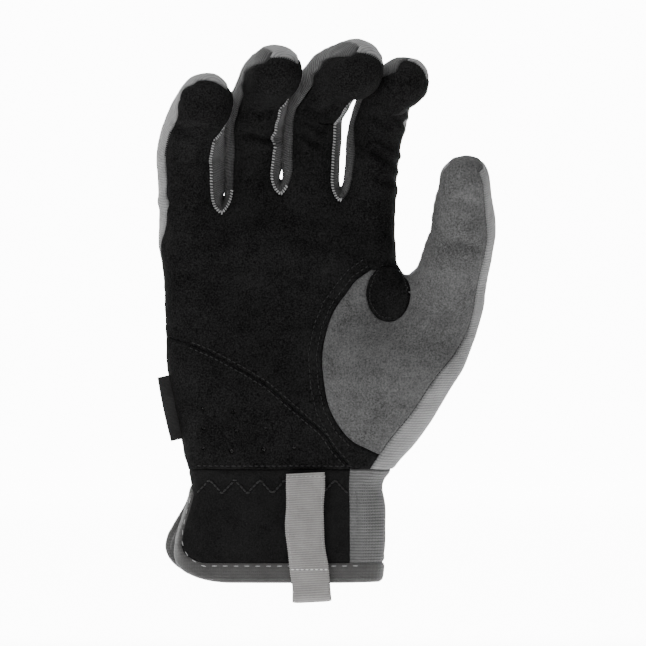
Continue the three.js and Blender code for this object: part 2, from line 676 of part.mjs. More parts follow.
// Cuts a list of faces where a value measured at their corners, in millimetres, changes
// sign. Returns the faces below and above; new corners are shared. A corner close to the
// cut moves onto it, so that no sliver of a face is left.
const closeShare = 0.3;
const closeBy = 1.1;
function cutFaces(list, skin, valueAt) {
  const below = [];
  const above = [];
  const made = new Map();
  const values = new Map();
  const valueOf = (corner) => {
    if (!values.has(corner)) {
      const value = valueAt(skin[corner]);
      values.set(corner, Math.abs(value) < 0.02 ? 0 : value);
    }
    return values.get(corner);
  };
  const between = (a, b, share) => {
    const point = skin[a].clone().lerp(skin[b], share);
    for (const measure of ['fromVent', 'round', 'fromFront']) {
      point[measure] = mix(skin[a][measure], skin[b][measure], share);
    }
    return point;
  };
  const nearest = new Map();
  for (const face of list) {
    const count = face.corners.length;
    face.corners.forEach((corner, index) => {
      for (const step of [1, count - 1]) {
        const other = face.corners[(index + step) % count];
        if (valueOf(corner) * valueOf(other) >= 0) continue;
        const share = valueOf(corner) / (valueOf(corner) - valueOf(other));
        if (share < (nearest.get(corner)?.share ?? 0.5)) nearest.set(corner, { other, share });
      }
    });
  }
  const settled = [...nearest]
    .filter(([corner, { share }]) => share < closeShare || Math.abs(valueOf(corner)) < closeBy)
    .map(([corner, { other, share }]) => [corner, between(corner, other, share)]);
  for (const [corner, point] of settled) {
    skin[corner] = point;
    values.set(corner, 0);
  }
  const crossing = (a, b, va, vb) => {
    const key = Math.min(a, b) + ':' + Math.max(a, b);
    if (!made.has(key)) {
      skin.push(between(a, b, va / (va - vb)));
      made.set(key, skin.length - 1);
    }
    return made.get(key);
  };
  for (const face of list) {
    const halves = { low: [], high: [] };
    const count = face.corners.length;
    face.corners.forEach((corner, index) => {
      const after = face.corners[(index + 1) % count];
      const value = valueOf(corner);
      const nextValue = valueOf(after);
      if (value <= 0) halves.low.push(corner);
      if (value >= 0) halves.high.push(corner);
      if (value * nextValue < 0) {
        const cut = crossing(corner, after, value, nextValue);
        halves.low.push(cut);
        halves.high.push(cut);
      }
    });
    const sure = face.corners.map(valueOf);
    if (Math.min(...sure) < 0 && halves.low.length > 2) below.push({ ...face, corners: halves.low });
    if (Math.max(...sure) > 0 && halves.high.length > 2) above.push({ ...face, corners: halves.high });
    if (Math.min(...sure) === 0 && Math.max(...sure) === 0) above.push(face);
  }
  return [below, above];
}

// Gives a list of faces its wall: the outer skin moves in by half the seam gap along
// its border and out by its lift, and a second skin lies one wall further in.
function thicken(list, skin, wall, lift, normals) {
  const used = new Map();
  const outer = [];
  const vertexOf = (corner) => {
    if (!used.has(corner)) {
      used.set(corner, outer.length);
      outer.push(corner);
    }
    return used.get(corner);
  };
  const triangles = [];
  for (const face of list) {
    const ids = face.corners.map(vertexOf);
    for (let k = 1; k < ids.length - 1; k += 1) triangles.push([ids[0], ids[k], ids[k + 1]]);
  }
  const border = new Map();
  for (const [a, b, c] of triangles) {
    for (const [from, to] of [[a, b], [b, c], [c, a]]) {
      const back = to + ':' + from;
      if (border.has(back)) border.delete(back);
      else border.set(from + ':' + to, [from, to]);
    }
  }
  // Across each border edge, in the skin; a sharp corner moves further, to keep the gap.
  const inward = outer.map(() => new THREE.Vector3());
  for (const [from, to] of border.values()) {
    const edge = skin[outer[to]].clone().sub(skin[outer[from]]).normalize();
    for (const end of [from, to]) {
      inward[end].add(normals[outer[end]].clone().cross(edge).normalize());
    }
  }
  const positions = [];
  const count = outer.length;
  const moved = outer.map((corner, index) => {
    const point = skin[corner].clone();
    const across = inward[index];
    if (across.lengthSq() > 0) {
      point.addScaledVector(across, seamGap / Math.max(across.lengthSq(), 0.5));
    }
    return point.addScaledVector(normals[corner], lift);
  });
  for (const point of moved) positions.push(point.x, point.y, point.z);
  moved.forEach((point, index) => {
    const deep = point.clone().addScaledVector(normals[outer[index]], -wall);
    deep.addScaledVector(inward[index].normalize(), seamBevel * wall);
    positions.push(deep.x, deep.y, deep.z);
  });
  const indices = [];
  for (const [a, b, c] of triangles) {
    indices.push(a, b, c, a + count, c + count, b + count);
  }
  for (const [from, to] of border.values()) {
    indices.push(to, from, from + count, to, from + count, to + count);
  }
  const geometry = new THREE.BufferGeometry();
  geometry.setAttribute('position', new THREE.Float32BufferAttribute(positions, 3));
  geometry.setIndex(indices);
  geometry.computeVertexNormals();
  return geometry;
}

// The mean direction out of the skin at each of its points.
function skinNormals(skin, list) {
  const normals = skin.map(() => new THREE.Vector3());
  for (const face of list) {
    const corners = face.corners.map((corner) => skin[corner]);
    const normal = new THREE.Vector3();
    for (let k = 1; k < corners.length - 1; k += 1) {
      const a = corners[k].clone().sub(corners[0]);
      const b = corners[k + 1].clone().sub(corners[0]);
      normal.add(a.cross(b));
    }
    face.corners.forEach((corner) => normals[corner].add(normal));
  }
  return normals.map((normal) => normal.normalize());
}

// Sort the hand's faces into the glove's pieces.
const isFinger = (face) => fingers.some((finger) => finger.name === face.zone);
const pieces = { palm_panel: [], back_panel: [], thumb_panel: [] };
const gussets = ['fourchette_little_ring', 'fourchette_ring_middle', 'fourchette_middle_index'];
gussets.forEach((name) => { pieces[name] = []; });
const palmFace = [];
const littleSide = [];
const crotchFaces = { palm: [], thumb: [] };
for (const face of faces) {
  const finger = fingers.findIndex((each) => each.name === face.zone);
  const { zone, side } = face;
  const frontHalf = side === 'right' ? face.column < sideSteps / 2 : face.column >= sideSteps / 2;
  if (zone === 'thumb') {
    if (side === 'left' && frontHalf) crotchFaces.thumb.push(face);
    else pieces[side === 'front' || side === 'tip' ? 'thumb_panel' : 'back_panel'].push(face);
  } else if (isFinger(face)) {
    const overTip = face.cap && side === 'right';
    const behindTip = side === 'tip' && face.column === sideSteps - 1;
    if (side === 'back' || behindTip) pieces.back_panel.push(face);
    else if (side === 'front' || side === 'tip' || overTip) pieces.palm_panel.push(face);
    else if (side === 'left' && finger === 0) littleSide.push(face);
    else if (side === 'right' && finger === fingers.length - 1) {
      pieces[frontHalf ? 'palm_panel' : 'back_panel'].push(face);
    } else pieces[gussets[side === 'right' ? finger : finger - 1]].push(face);
  } else if (side === 'front') palmFace.push(face);
  else if (side === 'left') littleSide.push(face);
  else if (zone === 'palm' && side === 'right' && frontHalf) crotchFaces.palm.push(face);
  else pieces.back_panel.push(face);
}
// The seam on the little finger's side runs up the middle of the hand's edge and comes
// forward along the finger.
for (const face of littleSide) {
  const behind = sideSteps - face.column;
  face.corners.forEach((corner, index) => {
    points[corner].fromFront = index === 0 || index === 3 ? behind : behind - 1;
  });
}
const sideStep = palmDepth / 6;
const sideValue = (point) => {
  const seam = read(sideSeam, 'at', upShare(point.z), 'fromFront');
  return (point.fromFront - seam) * sideStep;
};
const [sidePalm, sideBack] = cutFaces(littleSide, points, sideValue);
pieces.palm_panel.push(...sidePalm);
pieces.back_panel.push(...sideBack);

// The thumb piece, the crotch patch and the heel piece are cut out of the palm's face.
const patchValue = (point) => {
  const across = (point.x / knuckleWidth - crotchPatch.across) / crotchPatch.wide;
  const up = (upShare(point.z) - crotchPatch.up) / crotchPatch.tall;
  return (Math.hypot(across, up) - 1) * crotchPatch.wide * knuckleWidth;
};
const thumbValue = (point) => {
  const across = read(thumbEdge, 'up', upShare(point.z), 'across');
  const low = thumbEdge[0].up - upShare(point.z);
  const high = upShare(point.z) - thumbEdge[thumbEdge.length - 1].up;
  return Math.max(across * knuckleWidth - point.x, low * palmHeight, high * palmHeight);
};
const heelValue = (point) => {
  const up = read(heelEdge, 'across', point.x / knuckleWidth, 'up');
  return (upShare(point.z) - up) * palmHeight;
};
const crotchStart = [...palmFace, ...crotchFaces.palm, ...crotchFaces.thumb];
const [patchFaces, aroundPatch] = cutFaces(crotchStart, points, patchValue);
const thumbSide = aroundPatch.filter((face) => face.zone === 'thumb');
const palmRest = aroundPatch.filter((face) => face.zone !== 'thumb');
const [thumbFaces, blackFaces] = cutFaces(palmRest, points, thumbValue);
const palmEdge = pieces.palm_panel.filter((face) => face.zone === 'hand' || face.zone === 'palm');
const fingerFronts = pieces.palm_panel.filter(isFinger);
const [heelFaces, palmFaces] = cutFaces([...blackFaces, ...palmEdge], points, heelValue);
pieces.palm_panel = [...palmFaces, ...fingerFronts];
pieces.thumb_panel.push(...thumbFaces, ...thumbSide);
pieces.thumb_crotch_patch = patchFaces;
pieces.palm_heel_panel = heelFaces;

// The cuff hangs from the same ring of points, in one strip that starts and ends at the
// vent on the little finger's side.
const ventStart = 2 * allColumns + sideSteps + sideSteps / 2;
const stripRing = (ringPoints, lastPoint) => [
  ...ringPoints.slice(ventStart), ...ringPoints.slice(0, ventStart), lastPoint,
];
const measureRow = (row) => {
  const run = [0];
  for (let i = 1; i < row.length; i += 1) {
    const [before, here] = [points[row[i - 1]], points[row[i]]];
    run.push(run[i - 1] + Math.hypot(here.x - before.x, here.y - before.y));
  }
  const total = run[run.length - 1];
  row.forEach((corner, index) => {
    points[corner].fromVent = Math.min(run[index], total - run[index]);
    points[corner].round = run[index] < total / 2 ? ventCorner.front : ventCorner.back;
  });
};
let upperRow = stripRing(wristRing, wristRing[ventStart]);
measureRow(upperRow);
const cuffFaces = [];
for (let row = 1; row <= cuffRows; row += 1) {
  const z = mix(cuffHeight, 0, row / cuffRows);
  const open = ease((ventHeight - z) / (0.7 * ventHeight));
  const pull = Math.exp(-(((z / cuffHeight - elastic.up) / elastic.tall) ** 2));
  const loop = handRing(() => z, false);
  const lowerRow = stripRing(loop, loop[ventStart]).map((ringPoint, index, strip) => {
    const point = ringPoint.clone();
    const place = index / (strip.length - 1);
    const out = new THREE.Vector3(point.x, point.y, 0).normalize();
    if (index > gussetStep) point.addScaledVector(out, (index % 2 ? -1 : 1) * elastic.gather * pull);
    const nearStart = open * ease(1 - place / ventFlare.reach);
    const nearEnd = open * ease(1 - (1 - place) / ventFlare.reach);
    point.x -= nearStart * ventFlare.front + nearEnd * ventFlare.back;
    point.y += (nearEnd - nearStart) * ventFlare.apart;
    return addPoint(point);
  });
  for (let i = 0; i < lowerRow.length - 1; i += 1) {
    const zone = i < gussetStep ? 'cuff_palm_panel' : 'cuff_back_panel';
    const corners = [lowerRow[i], lowerRow[i + 1], upperRow[i + 1], upperRow[i]];
    cuffFaces.push({ corners, zone, side: 'cuff', column: i });
  }
  measureRow(lowerRow);
  upperRow = lowerRow;
}

// Distance in from the cuff's edge: the hem, the vent and the round corner between.
function edgeValue(point) {
  const fromVent = point.fromVent + Math.max(point.z - ventHeight, 0) * 2;
  const straight = Math.min(fromVent, point.z);
  const along = 1 - fromVent / ventCorner.along;
  const up = 1 - point.z / point.round;
  if (along < 0 || up < 0) return straight;
  return Math.min(straight, (1 - Math.hypot(along, up)) * point.round);
}
const cuffInside = cutFaces(cuffFaces, points, edgeValue)[1];
const [bindingFaces, panelFaces] = cutFaces(cuffInside, points, (point) => edgeValue(point) - bindingWidth);
pieces.cuff_binding = bindingFaces;
for (const name of ['cuff_palm_panel', 'cuff_back_panel']) {
  pieces[name] = panelFaces.filter((face) => face.zone === name);
}

const allFaces = Object.values(pieces).flat();
const normals = skinNormals(points, allFaces);

const looks = {
  suede: { color: 0x17181a, roughness: 0.95, metalness: 0 },
  thumbSuede: { color: 0x5b5c5e, roughness: 0.95, metalness: 0 },
  backKnit: { color: 0x6f7072, roughness: 0.9, metalness: 0 },
  gussetKnit: { color: 0x55565a, roughness: 0.9, metalness: 0 },
  cuffKnit: { color: 0x1d1d1f, roughness: 0.9, metalness: 0 },
  elasticKnit: { color: 0x66676a, roughness: 0.9, metalness: 0 },
  binding: { color: 0x504d4f, roughness: 0.9, metalness: 0 },
  webbing: { color: 0xa09994, roughness: 0.85, metalness: 0 },
  label: { color: 0x161617, roughness: 0.8, metalness: 0 },
};
const pieceLooks = {
  palm_panel: looks.suede,
  palm_heel_panel: looks.suede,
  thumb_crotch_patch: looks.suede,
  thumb_panel: looks.thumbSuede,
  back_panel: looks.backKnit,
  cuff_palm_panel: looks.cuffKnit,
  cuff_back_panel: looks.elasticKnit,
  cuff_binding: looks.binding,
};

const group = new THREE.Group();
function addPiece(name, geometry, look) {
  const mesh = new THREE.Mesh(geometry, new THREE.MeshStandardMaterial(look));
  mesh.name = name;
  group.add(mesh);
}
for (const [name, list] of Object.entries(pieces)) {
  const look = pieceLooks[name] ?? looks.gussetKnit;
  const bound = look === looks.binding;
  let wall = clothWall;
  if (look === looks.suede || look === looks.thumbSuede) wall = suedeWall;
  if (bound) wall = bindingWall;
  addPiece(name, thicken(list, points, wall, bound ? bindingLift : 0, normals), look);
}

// The pull loop: webbing sewn to the cuff's palm side, down past the hem and up inside.
const loopX = loopPlace.across * knuckleWidth;
const loopLeft = loopX - webbingWidth / 2;
const cuffFrontY = (z) => {
  const section = handSection(z, false);
  return handPoint(loopLeft, -bow((loopLeft - section.middle) / section.half), z, false).y;
};
const outsideLeg = [];
const insideLeg = [];
const loopRows = 6;
const legGap = loopDepth - 2 * webbingWall;
for (let row = 0; row <= loopRows; row += 1) {
  const z = mix(loopReach, 0, row / loopRows);
  outsideLeg.push([cuffFrontY(z) - bindingLift - loopClear - webbingWall / 2, z]);
}
const turn = { y: outsideLeg[loopRows][0] + (legGap + webbingWall) / 2, z: -loopDrop + loopDepth / 2 };
const turnSteps = 8;
for (let k = 0; k <= turnSteps; k += 1) {
  const angle = Math.PI * (1 + k / turnSteps);
  const radius = (legGap + webbingWall) / 2;
  insideLeg.push([turn.y + radius * Math.cos(angle), turn.z + radius * Math.sin(angle)]);
}
insideLeg.push([turn.y + (legGap + webbingWall) / 2, loopTuck / 3]);
insideLeg.push([cuffFrontY(loopTuck) + bindingWall + loopClear + webbingWall / 2, loopTuck]);
const middleLine = [...outsideLeg, ...insideLeg].map(([y, z]) => new THREE.Vector2(y, z));
const offsetLine = (distance) => middleLine.map((point, index) => {
  const before = middleLine[Math.max(index - 1, 0)];
  const after = middleLine[Math.min(index + 1, middleLine.length - 1)];
  const along = after.clone().sub(before).normalize();
  return new THREE.Vector2(point.x - along.y * distance, point.y + along.x * distance);
});
const loopSide = new THREE.Shape([
  ...offsetLine(webbingWall / 2), ...offsetLine(-webbingWall / 2).reverse(),
]);
const loopGeometry = new THREE.ExtrudeGeometry(loopSide, {
  depth: webbingWidth, bevelEnabled: false, curveSegments: 1, steps: 1,
});
// The shape's own X and Y lie along the part's Y and Z, so the depth runs along X.
loopGeometry.applyMatrix4(new THREE.Matrix4().makeBasis(
  new THREE.Vector3(0, 1, 0), new THREE.Vector3(0, 0, 1), new THREE.Vector3(1, 0, 0),
));
loopGeometry.translate(-webbingWidth / 2, 0, 0);
addPiece('pull_loop', loopGeometry, looks.webbing);
const pullLoop = group.children[group.children.length - 1];
pullLoop.rotation.y = -loopPlace.tilt * degree;
pullLoop.position.x = loopX;

// The side label: a small folded tab that stands out of the little finger's side seam.
const labelZ = cuffHeight + labelPlace.up * palmHeight;
const seamPoint = (z) => handSidePoint(-1, labelPlace.round, z, false);
const labelSpan = labelHeight / 2;
const seamTop = seamPoint(labelZ + labelSpan);
const seamLow = seamPoint(labelZ - labelSpan);
const labelShape = new THREE.Shape();
labelShape.moveTo(0, -labelSpan);
labelShape.lineTo(labelWidth, -labelSpan);
labelShape.lineTo(labelWidth, labelSpan);
labelShape.lineTo(0, labelSpan);
const labelGeometry = new THREE.ExtrudeGeometry(labelShape, { depth: labelWall, bevelEnabled: false });
labelGeometry.translate(0, 0, -labelWall / 2);
addPiece('side_label', labelGeometry, looks.label);
const label = group.children[group.children.length - 1];
const labelUp = seamTop.clone().sub(seamLow).normalize();
const labelTurn = labelPlace.turn * degree;
const labelOut = new THREE.Vector3(-Math.cos(labelTurn), -Math.sin(labelTurn), 0);
labelOut.addScaledVector(labelUp, -labelOut.dot(labelUp)).normalize();
const labelFace = labelOut.clone().cross(labelUp);
label.quaternion.setFromRotationMatrix(new THREE.Matrix4().makeBasis(labelOut, labelUp, labelFace));
label.position.copy(seamTop).lerp(seamLow, 0.5).addScaledVector(labelOut, labelPlace.clear);

export default group;
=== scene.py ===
import math

import bpy
import numpy as np
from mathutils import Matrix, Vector, noise
from mathutils.bvhtree import BVHTree
from mathutils.kdtree import KDTree


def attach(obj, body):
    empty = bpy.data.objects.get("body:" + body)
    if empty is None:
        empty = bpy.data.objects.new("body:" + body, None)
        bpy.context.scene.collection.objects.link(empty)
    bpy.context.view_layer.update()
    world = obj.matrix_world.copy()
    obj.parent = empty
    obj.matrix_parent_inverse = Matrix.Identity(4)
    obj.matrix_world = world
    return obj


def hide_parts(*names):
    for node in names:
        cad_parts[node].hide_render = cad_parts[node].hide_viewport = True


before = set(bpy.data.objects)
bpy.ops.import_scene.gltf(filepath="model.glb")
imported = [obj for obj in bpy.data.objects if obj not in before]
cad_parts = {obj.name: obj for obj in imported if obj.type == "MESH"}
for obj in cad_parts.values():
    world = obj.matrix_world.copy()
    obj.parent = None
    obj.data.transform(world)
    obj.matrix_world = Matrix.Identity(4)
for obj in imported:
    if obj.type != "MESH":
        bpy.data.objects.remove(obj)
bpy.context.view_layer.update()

# The form the glove keeps: a half-closed right hand, palm to -Y, fingers up, thumb at +X.
# All cloth and suede panels are cut from this one skin, so their edges meet in the seams.
# Sizes are millimetres until a mesh is made; tables hold shares of the sizes named here.
knuckle_width = 101.7
palm_height = 111.3
palm_depth = 40.0
cuff_height = 47.3
finger_length = 85.0
thumb_length = 66.0
thumb_width = 25.5
finger_gap = 0.5
outer_crotch = -0.05
middle_joint = 0.44
tip_joint = 0.7
bend_span = 0.16
cap_share = 0.15
thumb_base = {"across": 0.665, "forward": 0.46}
thumb_crotch = 0.68
thumb_fall = 0.08
palm_arch = 0.1
finger_steps = 4
side_steps = 4

fingers = [
    dict(name="little", room=0.2891, length=0.8, girth=0.91, crotch=-0.077,
         curl=(12, 30, 56), lean=(-3, 13, 22), twist=(0, 4, 10), full=(0, 0.25), tip=0.88),
    dict(name="ring", room=0.2321, length=0.94, girth=0.98, crotch=-0.04,
         curl=(12, 38, 76), lean=(1.6, 13, 23), twist=(0, 4, 8), full=(0.25, 0.2), tip=0.98),
    dict(name="middle", room=0.2458, length=1, girth=0.97, crotch=0.047,
         curl=(13, 50, 80), lean=(3.2, 22, 38), twist=(0, 8, 18), full=(0.2, 0), tip=0.98),
    dict(name="index", room=0.233, length=0.865, girth=0.98, crotch=0.009,
         curl=(8, 28, 60), lean=(6, 15, 34), twist=(0, 18, 36), full=(0, 0), tip=0.92),
]
for finger in fingers:
    finger["room"] *= knuckle_width
    finger["length"] *= finger_length
thumb = dict(name="thumb", length=thumb_length, curl=(22, 26, 32), lean=(16, 1, 2), twist=(0, 0, 0),
             full=(0, 0), tip=1)
knuckle_left = -0.529 * knuckle_width
knuckle_z = cuff_height + palm_height


# How the form is measured: rows of shares, read between the rows along a smooth curve. The
# swells are the pads of the palm (facing -1) and the knuckles of the back (facing 1).
def table(columns, rows):
    return dict(zip(columns.split(), np.array(rows, float).T))


finger_form = table("at wide deep", [
    (-0.3, 1.1, 1.2), (0, 1.03, 1.1), (0.2, 0.98, 1.06), (0.4, 0.98, 1.03), (0.48, 1.0, 1.0),
    (0.6, 1.0, 1.05), (0.7, 0.98, 1.02), (0.85, 0.99, 1.03), (1, 0.98, 1.02),
])
thumb_form = table("at wide deep", [
    (-0.5, 1.5, 1.35), (-0.2, 1.42, 1.2), (0, 1.36, 1.06), (0.2, 1.18, 0.98), (0.4, 1.1, 0.97),
    (0.6, 1.02, 0.94), (0.8, 0.87, 0.82), (1, 0.76, 0.68),
])
hand_form = table("at left split right seam depth forward", [
    (-0.425, -0.425, 0.305, 0.412, 0.1, 1.04, 0.03),
    (-0.35, -0.436, 0.305, 0.42, 0.1, 1.05, 0.03),
    (-0.24, -0.428, 0.305, 0.428, 0.1, 1.05, 0.03),
    (-0.13, -0.396, 0.303, 0.425, 0.1, 1.03, 0.04),
    (-0.06, -0.38, 0.3, 0.415, 0.1, 1.0, 0.06),
    (0, -0.39, 0.3, 0.457, 0.105, 1.02, 0.09),
    (0.1, -0.413, 0.325, 0.55, 0.115, 1.04, 0.17),
    (0.23, -0.444, 0.375, 0.649, 0.1, 1.05, 0.26),
    (0.375, -0.475, 0.42, 0.743, 0.098, 1.02, 0.36),
    (0.51, -0.482, 0.46, 0.796, 0.074, 0.97, 0.44),
    (0.66, -0.488, 0.5, 0.836, 0.054, 0.9, 0.5),
    (0.785, -0.5, 0.479, 0.86, 0.05, 0.84, 0.5),
    (0.887, -0.52, 0.471, 0.87, 0.05, 0.8, 0.5),
    (1, -0.529, 0.471, 0.87, 0.05, 0.74, 0.5),
])
swells = table("facing across up wide tall rise", [
    (-1, 0.02, 0.56, 0.24, 0.24, -0.13), (-1, -0.3, 0.26, 0.14, 0.26, 0.07),
    (-1, 0.4, 0.36, 0.2, 0.24, 0.1), (-1, 0.0, 0.84, 0.4, 0.05, 0.03),
    (-1, 0.12, 0.12, 0.07, 0.2, -0.05), (1, -0.4, 0.84, 0.07, 0.1, 0.05),
    (1, -0.16, 0.88, 0.07, 0.1, 0.06), (1, 0.08, 0.9, 0.07, 0.1, 0.07),
    (1, 0.33, 0.87, 0.07, 0.1, 0.06), (1, 0.5, 0.5, 0.12, 0.2, -0.08),
])


def clamp(value):
    return np.clip(value, 0.0, 1.0)


def ease(value):
    value = clamp(value)
    return value * value * (3 - 2 * value)


def mix(a, b, share):
    return a + (b - a) * share


def read(rows, key, place, column):
    """A column's value at a place, on a smooth curve through the rows."""
    keys, values = rows[key], rows[column]
    last = len(keys) - 1
    i = np.clip(np.searchsorted(keys, place) - 1, 0, last - 1)

    def slope(k):
        before, after = np.maximum(k - 1, 0), np.minimum(k + 1, last)
        return (values[after] - values[before]) / (keys[after] - keys[before])

    span = keys[i + 1] - keys[i]
    t = clamp((place - keys[i]) / span)
    lead = t * (1 - t) ** 2 * slope(i) * span
    trail = t * t * (1 - t) * slope(i + 1) * span
    return mix(values[i], values[i + 1], ease(t)) + lead - trail


def bow(share, power=2.5):
    """The half depth of a rounded slice at a share of its half width."""
    return (1 - min(abs(share), 1) ** power) ** (1 / power)


def up_share(z):
    return (z - cuff_height) / palm_height


def hand_section(z, lobe):
    """The hand's slice at a height; the lobe is the part of it without the thumb."""
    at = up_share(z)
    left = knuckle_width * read(hand_form, "at", at, "left")
    right = knuckle_width * read(hand_form, "at", at, "split" if lobe else "right")
    return {
        "left": left, "right": right, "middle": (left + right) / 2, "half": (right - left) / 2,
        "depth": palm_depth * read(hand_form, "at", at, "depth") / 2,
        "forward": 0 if lobe else palm_depth * read(hand_form, "at", at, "forward"),
        "seam": right - knuckle_width * read(hand_form, "at", at, "seam"),
    }


def middle_y(section, x):
    """The middle of the hand's depth: arched across, and drawn forward to the thumb."""
    start = 0.1 * knuckle_width
    to_thumb = ease((x - start) / (section["right"] - start))
    arch = palm_arch * palm_depth * (2 * x / knuckle_width) ** 2 * np.sign(1 - to_thumb)
    return -section["forward"] * to_thumb - min(arch, palm_arch * palm_depth)


def hand_point(x, y01, z, lobe):
    section = hand_section(z, lobe)
    across = (x / knuckle_width - swells["across"]) / swells["wide"]
    up = (up_share(z) - swells["up"]) / swells["tall"]
    rise = swells["facing"] * swells["rise"] * np.exp(-across ** 2 - up ** 2)
    rise = rise[swells["facing"] * y01 > 0].sum() * palm_depth * abs(y01)
    return np.array([x, middle_y(section, x) + y01 * section["depth"] + rise, z])


def turned(vector, axis, angle):
    return (vector * math.cos(angle) + np.cross(axis, vector) * math.sin(angle)
            + axis * axis.dot(vector) * (1 - math.cos(angle)))


def bent_line(digit, root):
    """A digit's middle line, which curls, leans and twists at its two joints."""
    steps = 60

    def blend(values, s):
        first = ease((s - middle_joint) / bend_span + 0.5)
        second = ease((s - tip_joint) / bend_span + 0.5)
        return math.radians(mix(mix(values[0], values[1], first), values[2], second))

    def along(s):
        curl, lean, twist = (blend(digit[word], s) for word in ("curl", "lean", "twist"))
        side, straight = math.sin(lean), math.cos(lean)
        aim = np.array([side, -straight * math.sin(curl), straight * math.cos(curl)])
        across = np.array([straight, side * math.sin(curl), -side * math.cos(curl)])
        palmar = np.array([0, -math.cos(curl), -math.sin(curl)])
        return aim, turned(across, aim, -twist), turned(palmar, aim, -twist)

    line = [np.array(root, float)]
    for i in range(steps):
        line.append(line[i] + along((i + 0.5) / steps)[0] * digit["length"] / steps)

    def at(s):
        aim, across, palmar = along(s)
        place = clamp(s) * steps
        i = min(int(place), steps - 1)
        centre = mix(line[i], line[i + 1], place - i) + aim * min(s, 0) * digit["length"]
        return centre, aim, across, palmar

    return at


fullness = {"start": 0.05, "rise": 0.16, "fade": 0.2, "end": 0.65, "depth": 0.35}


def digit_point(digit, s, X, Y):
    """A point on a digit at a share of its length; X and Y are shares of its half sizes."""
    centre, aim, across, palmar = digit["line"](s)
    taper = mix(1, digit["tip"], ease((s - middle_joint) / (1 - cap_share - middle_joint)))
    wide = digit["width"] * taper * read(digit["form"], "at", s, "wide") / 2
    deep = digit["width"] * read(digit["form"], "at", s, "deep") / 2
    along = ease((s - fullness["start"]) / fullness["rise"]) * ease((fullness["end"] - s) / fullness["fade"])
    behind = ease((Y + fullness["depth"]) / (2 * fullness["depth"]))
    full = digit["full"][0 if X < 0 else 1] * along * behind
    return centre + across * wide * X * (1 + full) - palmar * deep * Y


# The coarse skin: points and four-cornered faces, and for each face the part of the hand and
# the side of it that it belongs to. Every panel is cut from it later.
points = []
run_up = []
quads = []
quad_zone = []
quad_side = []
quad_column = []
quad_cap = []
quad_round = []


def add_point(position, up):
    points.append(np.array(position, float))
    run_up.append(up)
    return len(points) - 1


def add_quad(corners, zone, side, column, around, cap=False):
    quads.append(corners)
    quad_zone.append(zone)
    quad_side.append(side)
    quad_column.append(column)
    quad_cap.append(cap)
    quad_round.append(around)


def join_rings(low, high, front_steps, zone, cap=False):
    i = 0
    sides = (("front", front_steps), ("right", side_steps), ("back", front_steps), ("left", side_steps))
    for side, steps in sides:
        for k in range(steps):
            j = (i + 1) % len(low)
            add_quad([low[i], low[j], high[j], high[i]], zone, side, k, (i, i + 1, i + 1, i), cap)
            i += 1


digit_corner = 0.74
digit_power = 2.15
digit_shares = []
corner_depth = bow(digit_corner, digit_power)
for half in (1, -1):
    for k in range(finger_steps):
        X = mix(-half * digit_corner, half * digit_corner, k / finger_steps)
        digit_shares.append((X, -half * bow(X, digit_power)))
    for k in range(side_steps):
        Y = mix(-half * corner_depth, half * corner_depth, k / side_steps)
        digit_shares.append((half * bow(Y, digit_power), Y))

palm_columns = finger_steps * len(fingers)
all_columns = palm_columns + finger_steps
side_inset = 0.03
column_share = []
room_so_far = 0
for finger in fingers:
    for k in range(finger_steps):
        column_share.append((room_so_far + finger["room"] * k / finger_steps) / knuckle_width)
    room_so_far += finger["room"]
column_share[0] = side_inset
column_share.append(1 - side_inset)
crotch_heights = table("column height", [
    (index * finger_steps, height)
    for index, height in enumerate([finger["crotch"] for finger in fingers] + [outer_crotch])
])


def root_z(column):
    return knuckle_z + palm_height * read(crotch_heights, "column", column, "height")


def base_z(number):
    return root_z((number + 0.5) * finger_steps)


def crotch_z(column):
    over_thumb = max(column - palm_columns, 0) / finger_steps
    return cuff_height + palm_height * (thumb_crotch - thumb_fall * over_thumb)


finger_start = knuckle_left
for index, finger in enumerate(fingers):
    finger["width"] = finger["room"] * finger["girth"]
    finger["form"] = finger_form
    finger_start += finger["room"]
    x = finger_start - finger_gap - finger["width"] / 2
    z = base_z(index)
    finger["line"] = bent_line(finger, (x, middle_y(hand_section(z, True), x), z))
thumb["width"] = thumb_width
thumb["form"] = thumb_form
thumb["line"] = bent_line(thumb, (
    thumb_base["across"] * knuckle_width, -thumb_base["forward"] * palm_depth,
    crotch_z(palm_columns + finger_steps / 2),
))


def hand_ring_point(facing, column, z, lobe):
    section = hand_section(z, lobe)
    split = hand_section(z, True)["right"]
    x = mix(section["left"], split, column_share[min(column, palm_columns)])
    if column > palm_columns:
        x = mix(x, section["seam"], (column - palm_columns) / finger_steps)
    return hand_point(x, facing * bow((x - section["middle"]) / section["half"]), z, lobe)


def hand_side_point(side, k, z, lobe):
    section = hand_section(z, lobe)
    last = palm_columns if lobe else all_columns
    edge = hand_ring_point(1, last if side > 0 else 0, z, lobe)
    depth = bow((edge[0] - section["middle"]) / section["half"])
    turn = mix(-depth, depth, k / side_steps)
    return hand_point(section["middle"] + side * section["half"] * bow(turn), turn, z, lobe)


def hand_ring(height_of, lobe):
    """Points round the hand: over the front, up the right side, over the back, down the left."""
    last = palm_columns if lobe else all_columns
    ring = [hand_ring_point(-1, c, height_of(c), lobe) for c in range(last)]
    ring += [hand_side_point(1, k, height_of(last), lobe) for k in range(side_steps)]
    ring += [hand_ring_point(1, c, height_of(c), lobe) for c in range(last, 0, -1)]
    ring += [hand_side_point(-1, side_steps - k, height_of(0), lobe) for k in range(side_steps)]
    return ring


def digit_ring(digit, station_of):
    return [digit_point(digit, station_of(i), X, Y) for i, (X, Y) in enumerate(digit_shares)]


def column_of(index, first, steps):
    """The column of the hand that a point of a ring stands in."""
    if index <= steps:
        return first + index
    if index < steps + side_steps:
        return first + steps
    if index <= 2 * steps + side_steps:
        return first + 2 * steps + side_steps - index
    return first


